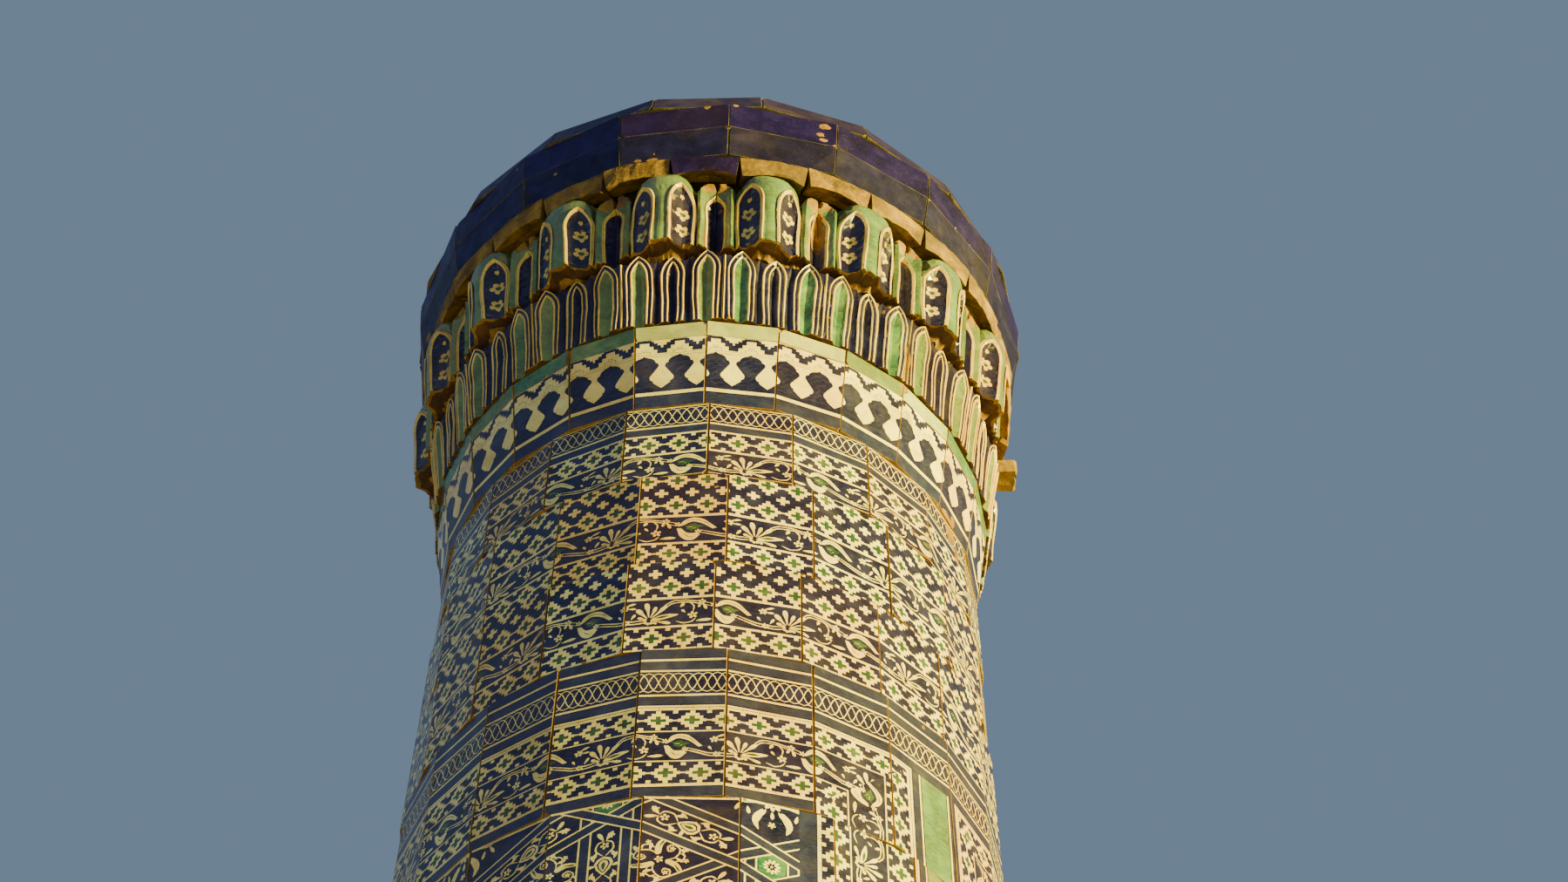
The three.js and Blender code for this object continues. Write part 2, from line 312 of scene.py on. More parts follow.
class Piece:
    """Gathers tiles, bricks and blocks into one mesh."""

    def __init__(self):
        self.verts = []
        self.faces = []
        self.paints = []
        self.tones = []

    def add(self, verts, faces, paints, tone):
        """Adds faces, each with a paint; verts are (x, y, z)."""
        start = len(self.verts)
        self.verts.extend(map(tuple, verts))
        self.faces.extend([start + i for i in face] for face in faces)
        self.paints.extend(paints)
        self.tones.extend([tone] * len(faces))

    def build(self, name, slot, materials=None, replaced=()):
        """Makes the piece's object, which rides on the tower's one body."""
        mesh = bpy.data.meshes.new(name)
        mesh.from_pydata(self.verts, [], self.faces)
        for material in materials or palette():
            mesh.materials.append(material)
        mesh.polygons.foreach_set("material_index", self.paints)
        mesh.polygons.foreach_set("use_smooth", [False] * len(self.faces))
        mesh.attributes.new("tone", "FLOAT", "FACE").data.foreach_set("value", self.tones)
        mesh.update()
        piece = bpy.data.objects.new(name, mesh)
        bpy.context.scene.collection.objects.link(piece)
        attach(piece, "root")
        if replaced:
            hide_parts(*replaced)


def area_of(points):
    """An outline's area, positive where it runs anticlockwise."""
    return sum(a[0] * b[1] - b[0] * a[1] for a, b in zip(points, points[1:] + points[:1])) / 2


def turned_left(points):
    """The same outline, running anticlockwise."""
    return points if area_of(points) > 0 else points[::-1]


def split(outline, shapes, ground, lines=(), spots=()):
    """Cuts an outline into triangles, each wholly within one painted shape; later shapes lie on top.

    Returns points, triangles, each triangle's paint, and the outline's own corners as point indices.
    """
    points, loops, edges = [], [], []
    for loop in [outline] + [shape for _, shape in shapes]:
        loops.append(list(range(len(points), len(points) + len(loop))))
        points.extend(loop)
    for line in lines:
        edges.extend((len(points) + i, len(points) + i + 1) for i in range(len(line) - 1))
        points.extend(line)
    points.extend(spots)
    out = delaunay_2d_cdt([Vector(p) for p in points], edges, loops, 1, 1e-5, True)
    flat, triangles, owners, sources = out[0], out[2], out[5], out[3]
    # a shape that has run out over its outline is left out
    covered = [0.0] * (len(shapes) + 1)
    for triangle, owner in zip(triangles, owners):
        if owner:
            area = area_of([flat[i] for i in triangle])
            for i in owner:
                covered[i] += area
    sound = [shape for shape, area in zip(shapes, covered[1:]) if area < 2 * abs(area_of(shape[1])) + 0.0005]
    if len(sound) < len(shapes):
        return split(outline, sound, ground, lines, spots)
    kept, paints = [], []
    for triangle, owner in zip(triangles, owners):
        if 0 in owner:
            kept.append(triangle)
            top = max(owner)
            paints.append(shapes[top - 1][0] if top else ground)
    corner_of = {}
    for index, source in enumerate(sources):
        for i in source:
            if i < len(outline):
                corner_of[i] = index
    return [tuple(p) for p in flat], kept, paints, [corner_of[i] for i in range(len(outline))]


def rim_chains(triangles, corners):
    """The outline's edges as runs of point indices, each from one corner to the next."""
    forward = set()
    for a, b, c in triangles:
        forward.update(((a, b), (b, c), (c, a)))
    after = {a: b for a, b in forward if (b, a) not in forward}
    chains = []
    for start, end in zip(corners, corners[1:] + corners[:1]):
        chain = [start]
        while chain[-1] != end:
            chain.append(after[chain[-1]])
            if len(chain) > 4000:
                raise ValueError("open outline")
        chains.append(chain)
    return chains


def cut_face(outline, shapes, ground, lines=(), spots=()):
    """A painted face's points, triangles and paints, and its rim as runs of points between the corners."""
    points, triangles, paints, corners = split(outline, shapes, ground, lines, spots)
    used = sorted({i for triangle in triangles for i in triangle})
    index = {old: new for new, old in enumerate(used)}
    chains = [[index[p] for p in chain] for chain in rim_chains(triangles, corners)]
    return [points[i] for i in used], [[index[i] for i in triangle] for triangle in triangles], paints, chains


class Bed:
    """The flat bed of one tile on a many-sided drum: takes (x, y) on it and a height out of it to space."""

    def __init__(self, start, end, foot_radius, top_radius, foot, top):
        self.corners = [np.array(polar(azimuth, radius, height)) for radius, height in (
            (foot_radius, foot), (top_radius, top)) for azimuth in (start, end)]
        low_left, low_right, high_left, high_right = self.corners
        self.width = (np.linalg.norm(low_right - low_left) + np.linalg.norm(high_right - high_left)) / 2
        self.height = np.linalg.norm((high_left + high_right - low_left - low_right) / 2)
        normal = np.cross(low_right - low_left, high_left - low_left)
        self.normal = normal / np.linalg.norm(normal)
        self.tilt = (0.0, 0.0, 0.0, 0.0)

    def at(self, points, out):
        """Places points (x, y) at a height out of the bed, which leans by the tile's own tilt."""
        points = np.array(points, float).reshape(-1, 2)
        u, v = points[:, 0] / self.width, points[:, 1] / self.height
        shares = np.stack([(1 - u) * (1 - v), u * (1 - v), (1 - u) * v, u * v], 1)
        return shares @ np.array(self.corners) + self.normal * (out + shares @ np.array(self.tilt))[:, None]


def moved_out(outline, distance):
    """The outline with each edge moved outwards by a distance."""
    count = len(outline)
    grown = []
    for i, (x, y) in enumerate(outline):
        before, after = outline[i - 1], outline[(i + 1) % count]
        a = Vector((x - before[0], y - before[1])).normalized()
        b = Vector((after[0] - x, after[1] - y)).normalized()
        bisector = Vector((a.y + b.y, -a.x - b.x))
        if bisector.length < 1e-6:
            bisector = Vector((a.y, -a.x))
        bisector.normalize()
        reach = distance / max(0.4, bisector.dot(Vector((a.y, -a.x))))
        grown.append((x + bisector.x * reach, y + bisector.y * reach))
    return grown


def add_tile(piece, bed, outline, shapes, ground, tone, edge):
    """One flat glazed tile: painted face, worn edge, clay sides and back."""
    points, faces, paints, chains = cut_face(outline, shapes, ground)
    verts = list(bed.at(points, PROUD))
    count, low = len(outline), len(verts)
    shoulder = moved_out(outline, BEVEL)
    verts.extend(bed.at(shoulder, PROUD - BEVEL))
    verts.extend(bed.at(shoulder, -EMBED))
    for i, chain in enumerate(chains):
        after = (i + 1) % count
        faces.append([low + i, low + after] + chain[::-1])
        faces.append([low + count + i, low + count + after, low + after, low + i])
    faces.append([low + count + i for i in reversed(range(count))])
    piece.add(verts, faces, paints + [edge] * (2 * count + 1), tone)


def pairs(numbers, parts):
    """Points from a row of x and y in turn, in parts of a unit."""
    return [(x / parts, y / parts) for x, y in zip(numbers[::2], numbers[1::2])]


def box(left, foot, right, top):
    """A rectangle's outline."""
    return [(left, foot), (right, foot), (right, top), (left, top)]


def mirrored(right, middle):
    """A symmetrical outline from its right side, which runs upwards."""
    return right + [(2 * middle - x, y) for x, y in reversed(right)]


def around(points, x, y, turn):
    """Points turned about the origin and moved."""
    c, s = math.cos(turn), math.sin(turn)
    return [(x + a * c - b * s, y + a * s + b * c) for a, b in points]


def stepped(x, y, reach, unit_x, unit_y):
    """A diamond of small cells, with stepped sides."""
    right = []
    for row in range(-reach, reach + 1):
        half = (reach - abs(row) + 0.5) * unit_x
        foot = y + (row - 0.5) * unit_y
        right += [(x + half, foot), (x + half, foot + unit_y)]
    return mirrored(right, x)


def smooth_path(points, steps=3, closed=False):
    """A Catmull-Rom curve through points."""
    count = len(points)
    path = []
    for i in range(count if closed else count - 1):
        pick = (lambda k: points[k % count]) if closed else (lambda k: points[min(max(k, 0), count - 1)])
        p0, p1, p2, p3 = (pick(i + k) for k in (-1, 0, 1, 2))
        for step in range(steps):
            t = step / steps
            path.append(tuple(0.5 * (2 * b + (c - a) * t + (2 * a - 5 * b + 4 * c - d) * t * t
                                     + (3 * b - a - 3 * c + d) * t ** 3)
                              for a, b, c, d in zip(p0, p1, p2, p3)))
    if not closed:
        path.append(tuple(points[-1]))
    return path


def thinned(points, tolerance):
    """An outline without the points that hardly bend it."""
    count = len(points)
    if count < 6:
        return points
    kept = [0]
    for last in range(2, count + 1):
        ax, ay = points[kept[-1]]
        bx, by = points[last % count]
        length = math.hypot(bx - ax, by - ay)
        for x, y in points[kept[-1] + 1:last]:
            away = abs((bx - ax) * (y - ay) - (by - ay) * (x - ax)) / length if length > 1e-9 else 1.0
            if away > tolerance:
                kept.append(last - 1)
                break
    return [points[k] for k in kept] if len(kept) > 2 else points


def stroke(points, width, end=0.35, steps=4):
    """A brush stroke along a curve, thinner at both ends."""
    path = smooth_path(points, steps)
    left, right = [], []
    for i, (x, y) in enumerate(path):
        a, b = path[max(i - 1, 0)], path[min(i + 1, len(path) - 1)]
        length = math.hypot(b[0] - a[0], b[1] - a[1]) or 1.0
        share = i / (len(path) - 1)
        half = width / 2 * (end + (1 - end) * min(1.0, 5 * min(share, 1 - share)))
        nx, ny = -(b[1] - a[1]) / length * half, (b[0] - a[0]) / length * half
        left.append((x + nx, y + ny))
        right.append((x - nx, y - ny))
    return right + left[::-1]


# Petals from base to tip and back, in shares of their length and width
PETAL = pairs((0, 6, 30, 36, 62, 50, 86, 36, 100, 0, 86, -36, 62, -50, 30, -36, 0, -6), 100)
BROAD_PETAL = pairs((16, 8, 50, 22, 76, 48, 93, 40, 100, 12,
                     100, -12, 93, -40, 76, -48, 50, -22, 16, -8), 100)
# Lobes of flowers: (share of a lobe's angle, share of the radius)
FLORET = ((-0.5, 0.42), (-0.24, 0.95), (0.0, 1.08), (0.24, 0.95))
ROSETTE = ((-0.5, 0.62), (-0.22, 0.96), (0.0, 1.04), (0.22, 0.96))


def petal(x, y, length, width, degrees, outline=PETAL):
    """A petal from its base."""
    return around([(a * length, b * width) for a, b in reversed(outline)], x, y, math.radians(degrees))


def floret(x, y, radius, turn=0.0, lobes=5, profile=FLORET):
    """A small flower with round lobes."""
    points = []
    for lobe in range(lobes):
        for offset, reach in profile:
            angle = turn + (lobe + offset) * 2 * math.pi / lobes
            points.append((x + radius * reach * math.cos(angle), y + radius * reach * math.sin(angle)))
    return points


def rosette(radius, lobes, turn=0.0):
    """A many-petalled rosette round the origin, as one outline."""
    return floret(0, 0, radius, turn, lobes, ROSETTE)


def disc(x, y, radius, sides=6, turn=0.0):
    """A small round dot."""
    angles = [turn + 2 * math.pi * i / sides for i in range(sides)]
    return [(x + radius * math.cos(angle), y + radius * math.sin(angle)) for angle in angles]


def blot(x, y, wide, tall, rng, sides=7, step=0.9, least=0.6, widest=1.2, tallest=1.3):
    """A ragged patch; step is the angle from corner to corner."""
    return [(x + wide * rng.uniform(least, widest) * math.cos(k * step),
             y + tall * rng.uniform(least, tallest) * math.sin(k * step)) for k in range(sides)]


class Canvas:
    """The painting on one tile, in metres along and up its ring; later shapes lie over earlier ones."""

    def __init__(self, left, right, foot, top, fine, ring=0.0):
        self.left, self.right, self.foot, self.top = left, right, foot, top
        self.fine = fine
        self.ring = ring
        self.shapes = []

    def add(self, paint, points):
        """Paints an outline if it reaches this tile."""
        xs, ys = zip(*points)
        if max(xs) > self.left and min(xs) < self.right and max(ys) > self.foot and min(ys) < self.top:
            self.shapes.append((paint, points))

    def stripes(self, *rows):
        """Stripes along the ring, (paint, foot, top) each."""
        margin, parts = 0.02, 3
        length = self.right - self.left + 2 * margin
        xs = [self.left - margin + length * i / parts for i in range(parts + 1)]
        for paint, foot, top in rows:
            self.add(paint, [(x, foot) for x in xs] + [(x, top) for x in reversed(xs)])

    def repeats(self, pitch, phase=0.0):
        """The places of a repeat that can reach this tile."""
        first = math.floor((self.left - phase) / pitch) - 1
        last = math.ceil((self.right - phase) / pitch) + 1
        return [phase + pitch * i for i in range(first, last + 1)]

    def on_tile(self, rng):
        """The shapes in the tile's own coordinates, drawn by an unsteady hand."""
        wobble = 0.0008
        waves = [(rng.uniform(-1, 1) * wobble, rng.uniform(30, 130), rng.uniform(30, 130),
                  rng.uniform(0, 6.3)) for _ in range(6)]

        def drawn(point):
            x, y = point[0] - self.left, point[1] - self.foot
            shift_x = sum(a * math.sin(f * y + g * x * 0.4 + p) for a, f, g, p in waves[:3])
            shift_y = sum(a * math.sin(f * x + g * y * 0.4 + p) for a, f, g, p in waves[3:])
            return (x + shift_x, y + shift_y)

        bend = FINE_BEND if self.fine else COARSE_BEND
        return [(paint, turned_left([drawn(p) for p in thinned(points, bend)]))
                for paint, points in self.shapes]


def border(canvas, foot, top, pitch):
    """A pale line with small dark ticks along its upper half."""
    canvas.stripes((CREAM, foot, top))
    tick = 0.0016
    for x in canvas.repeats(pitch / 2) if canvas.fine else ():
        canvas.add(COBALT, box(x - tick / 2, (foot + top) / 2, x + tick / 2, top + 0.0002))


def diamond(canvas, x, y, unit_x, unit_y):
    """A pale stepped diamond with a green heart, tied to its neighbours by a thin bar."""
    right = []
    for row, half in enumerate((0.5, 1.4, 2.2, 2.9, 2.2, 1.4, 0.5)):
        foot = y + (row - 3.5) * unit_y
        right += [(x + half * unit_x, foot), (x + half * unit_x, foot + unit_y)]
    tie, half_tie = 3.5, 0.24
    right[7:7] = [(x + reach * unit_x, y + side * half_tie * unit_y)
                  for reach, side in ((2.9, -1), (tie, -1), (tie, 1), (2.9, 1))]
    canvas.add(CREAM, mirrored(right, x))
    if canvas.fine:
        canvas.add(GREEN, stepped(x, y, 1, unit_x * 1.08, unit_y * 1.04))
    else:
        canvas.add(GREEN, [(x + a * unit_x, y + b * unit_y) for a, b in (
            (1.6, 0), (0.5, 0.5), (0, 1.5), (-0.5, 0.5), (-1.6, 0), (-0.5, -0.5), (0, -1.5), (0.5, -0.5))])


def cross_row(canvas, foot, height, pitch, phase=0.0):
    """Stepped diamonds with green hearts, and small crenels between them."""
    unit_x, unit_y = pitch / 7, height / 7
    for x in canvas.repeats(pitch, phase):
        diamond(canvas, x, foot + height / 2, unit_x, unit_y)
        middle = x + pitch / 2
        for y in (foot, foot + height - unit_y):
            canvas.add(CREAM, box(middle - unit_x / 2, y, middle + unit_x / 2, y + unit_y))


def interlace(canvas, foot, top, width):
    """Pale strands that cross like a plait, a whole number of times across a tile."""
    strands, thick, apart = 4, 0.0029, 0.0277
    wave = strands * width / round(width / apart)
    middle, swing = (foot + top) / 2, (top - foot) / 2 - thick * 0.8
    steps = 12 if canvas.fine else 8
    for strand in range(strands):
        phase = strand * wave / strands
        first = math.floor((canvas.left - phase) / wave * steps) - 1
        last = math.ceil((canvas.right - phase) / wave * steps) + 1
        path = [(phase + wave * (i / steps - 0.022 * math.sin(4 * math.pi * i / steps)),
                 middle + swing * math.sin(2 * math.pi * i / steps)) for i in range(first, last + 1)]
        canvas.add(CREAM, stroke(path, thick, end=1.0, steps=1))


def scroll_motif():
    """One repeat of the floral scroll, 3.7 long and 1 high, from points in hundredths."""
    motif = []

    def add(paint, points):
        motif.append((paint, points))

    def line(*numbers, width=0.036, paint=CREAM):
        add(paint, stroke(pairs(numbers, 100), width, steps=3))

    def curve(*numbers, closed=False):
        return smooth_path(pairs(numbers, 100), closed=closed)

    # double stems, along the top of one tile and the foot of the next
    line(-5, 95, 30, 95, 62, 88, 102, 76)
    line(-2, 86, 34, 87, 64, 79, 98, 66)
    line(164, 43, 190, 34, 220, 23, 262, 20, 298, 25)
    line(162, 34, 190, 25, 222, 13, 266, 10, 296, 16)
    line(344, 76, 358, 90, 372, 95)
    line(348, 68, 360, 82, 374, 86)
    # branches
    line(40, 86, 52, 70, 50, 50)
    line(6, 14, 26, 5, 46, 9, 58, 22, width=0.034)
    line(234, 74, 250, 86, 268, 90)
    # almond leaf: two lobes round a ragged green heart
    add(CREAM, curve(109, 62, 120, 85, 144, 97, 168, 91, 187, 72, 206, 50)
        + curve(195, 47, 180, 62, 162, 75, 140, 80, 120, 67))
    add(CREAM, curve(102, 54, 110, 24, 127, 5, 146, 5, 162, 24) + curve(155, 34, 141, 32, 126, 36, 114, 53))
    add(GREEN, pairs((122, 64, 128, 56, 127, 49, 135, 47, 141, 39, 146, 48, 155, 43, 159, 54, 174, 63,
                      155, 66, 149, 73, 139, 70, 131, 66), 100))
    line(130, 58, 146, 58, width=0.02)
    line(144, 50, 152, 56, width=0.018)
    line(124, 82, 146, 88, 170, 80, 192, 60, width=0.02, paint=COBALT)
    line(120, 33, 134, 17, 150, 20, width=0.02, paint=COBALT)
    # palmette: broad uneven petals from a ring of dots
    for angle, length, width in ((160, 0.32, 0.11), (128, 0.56, 0.16), (97, 0.66, 0.155), (70, 0.54, 0.115),
                                 (48, 0.7, 0.13), (-17, 0.6, 0.11), (-38, 0.26, 0.09)):
        add(CREAM, petal(3.04, 0.24, length, width, angle, BROAD_PETAL))
        c, s = math.cos(math.radians(angle)), math.sin(math.radians(angle))
        vein = [(3.04 + length * share * c, 0.24 + length * share * s) for share in (0.45, 0.8)]
        add(COBALT, stroke(vein, 0.018, steps=3))
    add(CREAM, curve(308, 24, 330, 22, 356, 28, 382, 40, 358, 44, 328, 38, closed=True))
    add(GREEN, curve(318, 30, 340, 29, 358, 36, 338, 38, closed=True))
    for angle in (170, 215, 260, 305):
        c, s = math.cos(math.radians(angle)), math.sin(math.radians(angle))
        add(CREAM, disc(3.04 + 0.11 * c, 0.21 + 0.12 * s, 0.048, 7))
    add(COBALT, disc(3.04, 0.22, 0.032))
    # florets and small leaves
    for x, y, size, turn in ((1.58, 0.38, 0.085, 0.3), (1.05, 0.7, 0.085, 0.0), (0.5, 0.36, 0.13, 0.5),
                             (0.74, 0.86, 0.1, 0.2), (2.36, 0.72, 0.11, 0.4), (2.44, 0.17, 0.1, 0.7)):
        add(CREAM, floret(x, y, size, turn))
        add(COBALT, disc(x, y, size * 0.28, 5))
    for leaf in ((0.78, 0.78, 0.24, 0.1, -72), (0.7, 0.8, 0.18, 0.08, -110), (0.6, 0.12, 0.42, 0.11, 4),
                 (0.16, 0.68, 0.18, 0.1, 60), (0.3, 0.46, 0.16, 0.08, 130), (2.4, 0.8, 0.28, 0.075, 24),
                 (2.42, 0.7, 0.26, 0.075, 2), (2.56, 0.28, 0.24, 0.085, 62), (2.3, 0.34, 0.16, 0.08, 120)):
        add(CREAM, petal(*leaf))
    return motif


SCROLL = scroll_motif()
# The same without its thinnest lines
SCROLL_PLAIN = [(paint, points) for paint, points in SCROLL
                if paint != COBALT and max(p[0] for p in points) - min(p[0] for p in points) > 0.11]


def scroll_row(canvas, foot, height, period, phase):
    """The floral scroll, a whole number of times round the ring."""
    if canvas.ring:
        period = canvas.ring / round(canvas.ring / period)
    scale = period / 3.7
    for start in canvas.repeats(period, phase):
        for paint, points in SCROLL if canvas.fine else SCROLL_PLAIN:
            canvas.add(paint, [(start + x * scale, foot + y * height) for x, y in points])


# The dark bud between two pale vases: shares of a half repeat and of the height
BUD = pairs((1000, 0, 1000, 70, 930, 100, 770, 150, 615, 200, 470, 257, 500, 290, 400, 310, 330, 340,
             294, 386, 315, 430, 374, 470, 510, 557, 670, 643, 760, 700, 775, 745, 740, 785, 670, 812,
             595, 820, 575, 860, 490, 915, 360, 955, 200, 975, 110, 985, 0, 1030), 1000)
# Brush marks in a bud: three points in hundredths of the same shares, and the width
BUD_BRUSH = [(pairs(row, 100), width) for *row, width in (
    (-55, 70, -25, 86, 10, 90, 0.0042), (-45, 62, -5, 74, 30, 84, 0.0034), (-20, 52, 10, 64, 42, 66, 0.0046),
    (-16, 36, 0, 46, 16, 50, 0.004), (-30, 24, 0, 30, 22, 40, 0.0044), (-70, 12, -20, 16, 40, 10, 0.004),
    (30, 76, 46, 80, 60, 72, 0.0036), (5, 20, 45, 16, 85, 7, 0.0036))]
# Steps of the zigzag, dark and pale: (share of a repeat, rise)
ZIGZAG = ((COBALT, ((0.14, 0.0175), (0.25, 0.0155), (0.365, 0.0175), (0.5, 0.012))),
          (CREAM, ((0.03, 0.0115), (0.125, 0.0095), (0.23, 0.0095), (0.3, 0.0045))))


def paint_frieze(canvas, width, pitch):
    """The lobed frieze: dark buds and pale vases under a stepped zigzag."""
    repeat = width / 2
    foot, height = 0.071, 0.163
    canvas.stripes((CREAM, -0.01, 0.33), (COBALT, -0.01, 0.003), (SLATE, 0.003, 0.05), (COBALT, 0.05, 0.055),
                   (COBALT, 0.07, 0.073))
    for x in canvas.repeats(repeat, 0.13 * width):
        right = [(x + min(a * 1.07, 1) * repeat * 0.502, foot + b * height) for a, b in BUD]
        canvas.add(COBALT, mirrored(right, x))
        for places, thick in BUD_BRUSH:
            path = [(x + a * repeat / 2, foot + b * height) for a, b in places]
            canvas.add(SLATE, stroke(path, thick, steps=3))
    line = foot + height
    canvas.stripes((COBALT, line - 0.0016, line), (COBALT, line + 0.009, line + 0.0104))
    top = line + 0.077
    for x in canvas.repeats(repeat, 0.38 * width):
        for paint, steps in ZIGZAG:
            y = top - sum(rise for _, rise in steps)
            right = []
            for share, rise in steps:
                right += [(x + repeat * share, y), (x + repeat * share, y + rise)]
                y += rise
            canvas.add(paint, mirrored(right, x))
        # a small stepped mound under each peak of the zigzag
        middle = x + repeat / 2
        for paint, inset in ((GREEN, 0.0), (CREAM, 0.0018)):
            outer, inner, step = middle + 0.0196 - inset, middle + 0.0078 - inset, line + 0.024 - inset
            right = [(outer, line + 0.012), (outer, step), (inner, step), (inner, line + 0.035 - inset)]
            canvas.add(paint, mirrored(right, middle))
        canvas.add(GREEN, disc(middle, line + 0.0235, 0.003))


def paint_course_3(canvas, width, pitch):
    """From the top: plait, stripes, stepped crosses, floral scroll."""
    scroll_row(canvas, 0.006, 0.104, 0.425, -0.235)
    canvas.stripes((CREAM, -0.01, 0.003))
    border(canvas, 0.113, 0.122, pitch)
    cross_row(canvas, 0.122, 0.09, pitch)
    border(canvas, 0.212, 0.22, pitch)
    canvas.stripes((SLATE, 0.223, 0.252), (CREAM, 0.254, 0.262))
    interlace(canvas, 0.267, 0.352, width)
    canvas.stripes((CREAM, 0.355, 0.37))


def paint_course_2(canvas, width, pitch):
    """From the top: stepped crosses with small crosses between, floral scroll, one more row of crosses."""
    unit_x, unit_y = pitch / 7, 0.0132
    cross_row(canvas, 0.0, 0.086, pitch, pitch * 0.2)
    border(canvas, 0.086, 0.095, pitch)
    scroll_row(canvas, 0.098, 0.115, 0.425, -0.267)
    border(canvas, 0.216, 0.227, pitch)
    low, high = 0.227 + 3.5 * unit_y, 0.227 + 12.8 * unit_y
    for x in canvas.repeats(pitch, pitch * 0.34):
        for y in (low, high):
            diamond(canvas, x, y, unit_x, unit_y)
        middle = x + pitch / 2
        canvas.add(CREAM, stepped(middle, (low + high) / 2, 1, unit_x, unit_y))
        canvas.add(CREAM, box(middle - unit_x / 2, 0.2268, middle + unit_x / 2, 0.227 + unit_y))


def paint_course_1(canvas, width, pitch):
    """From the top: small crosses, stepped crosses, floral scroll, stepped crosses."""
    unit_x, unit_y = pitch / 7, 0.0132
    border(canvas, -0.004, 0.008, pitch)
    cross_row(canvas, 0.008, 0.09, pitch, pitch * 0.1)
    border(canvas, 0.098, 0.107, pitch)
    scroll_row(canvas, 0.11, 0.115, 0.392, -0.114)
    border(canvas, 0.228, 0.238, pitch)
    low = 0.238 + 3.5 * unit_y
    for x in canvas.repeats(pitch, pitch * 0.6):
        middle = x + pitch / 2
        diamond(canvas, x, low, unit_x, unit_y)
        canvas.add(CREAM, stepped(middle, low + 4.6 * unit_y, 1, unit_x, unit_y))
        diamond(canvas, x, low + 9.2 * unit_y, unit_x, unit_y)
        canvas.add(CREAM, box(middle - unit_x / 2, 0.2378, middle + unit_x / 2, 0.238 + unit_y))


def paint_frame(canvas, pitch, period, phase=0.0):
    """The rows that frame a panel, from its edge outwards: stripe, crosses, floral scroll, crosses."""
    canvas.stripes((SLATE, -0.01, 0.037))
    border(canvas, 0.0405, 0.0515, pitch)
    cross_row(canvas, 0.0525, 0.081, pitch, pitch * 0.3)
    canvas.stripes((CREAM, 0.1365, 0.141))
    scroll_row(canvas, 0.146, 0.106, period, phase)
    canvas.stripes((CREAM, 0.2575, 0.262))
    cross_row(canvas, 0.264, 0.08, pitch)
    border(canvas, 0.3455, 0.3555, pitch)
    canvas.stripes((CREAM, 0.358, 0.3655))


def paint_band(canvas, width, pitch):
    """A banded course: stripes and plait above, then the rows that frame the panels."""
    paint_frame(canvas, pitch, 0.388, -0.272)
    canvas.stripes((SLATE, 0.371, 0.4), (CREAM, 0.405, 0.413))
    interlace(canvas, 0.42, 0.504, width)
    canvas.stripes((CREAM, 0.508, 0.515), (SLATE, 0.52, 0.55), (CREAM, 0.554, 0.563), (SLATE, 0.568, 0.62))


def unpainted(canvas, width, pitch):
    """Leaves a tile in its ground colour."""


def tile_outline(width, height, rng, chips):
    """A tile's outline in its bed: uneven joints, and some chipped corners and edges."""
    left, foot = rng.uniform(*JOINT), rng.uniform(*JOINT) * 0.6
    right, top = width - rng.uniform(*JOINT), height - rng.uniform(*JOINT) * 0.6
    outline = []
    corners = ((left, foot, 1, 1), (right, foot, -1, 1), (right, top, -1, -1), (left, top, 1, -1))
    for i, (x, y, along_x, along_y) in enumerate(corners):
        if rng.random() < chips:
            a, b = rng.uniform(0.004, 0.016), rng.uniform(0.005, 0.022)
            beside, above = (x + along_x * a, y), (x, y + along_y * b)
            middle = (x + along_x * a * rng.uniform(0.45, 0.62), y + along_y * b * rng.uniform(0.45, 0.62))
            outline += [above, middle, beside] if i % 2 == 0 else [beside, middle, above]
        else:
            outline.append((x, y))
    return outline


def flakes(width, height, rng, chance):
    """Places where the glaze has come off, mostly by the edges."""
    shapes = []
    while rng.random() < chance:
        x = rng.choice((rng.uniform(0, 0.01), width - rng.uniform(0, 0.01), rng.uniform(0, width)))
        y = rng.choice((rng.uniform(0, 0.008), height - rng.uniform(0, 0.008), rng.uniform(0, height)))
        size = rng.uniform(0.003, 0.01)
        shapes.append((CLAY, blot(x, y, size, size * rng.uniform(0.6, 2.2), rng, 8, 0.785, tallest=1.2)))
    return shapes


def lay_course(sides, azimuth, foot, top, foot_radius, top_radius, paint, seed, piece=None, ground=COBALT,
               chips=0.16, wear=0.4, painted_from=0.0, edge=CLAY, tones=(), grounds=(), blots=()):
    """A ring of painted tiles on the facets of a drum; paint(canvas, width, pitch) draws on each.

    tones and grounds are (tile, value) pairs for tiles unlike the rest; blots are places without glaze:
    (azimuth, height, half width, half height).
    """
    piece = piece or Piece()
    step = 360 / sides
    for i in range(sides):
        rng = random.Random(seed * 1000 + i)
        bed = Bed(azimuth + i * step, azimuth + (i + 1) * step, foot_radius, top_radius, foot, top)
        width, height = bed.width, bed.height
        pitch = sides * width / round(sides * width / PITCH)
        # the pattern's seam is at the back
        n = i if i <= sides // 2 else i - sides
        off_front = abs((azimuth + (i + 0.5) * step - FINE_AZIMUTH + 180) % 360 - 180)
        canvas = Canvas(n * width, (n + 1) * width, painted_from, painted_from + height,
                        top > FINE_ABOVE and off_front < FINE_SPREAD, sides * width)
        paint(canvas, width, pitch)
        bed.tilt = tuple(rng.uniform(-0.0008, 0.0022) for _ in range(4))
        outline = tile_outline(width, height, rng, chips)
        shapes = canvas.on_tile(rng) + flakes(width, height, rng, wear)
        for place, level, wide, tall in blots:
            x = ((place - azimuth - i * step + 180) % 360 - 180) / step * width
            if -wide < x < width + wide and -tall < level - foot < height + tall:
                shapes.append((CLAY, blot(x, level - foot, wide, tall, rng, 10, 0.6283, 0.75, tallest=1.2)))
        tone = dict(tones).get(i, max(-1.0, min(1.0, rng.gauss(-0.3, 0.5))))
        add_tile(piece, bed, outline, shapes, dict(grounds).get(i, ground), tone, edge)
    return piece


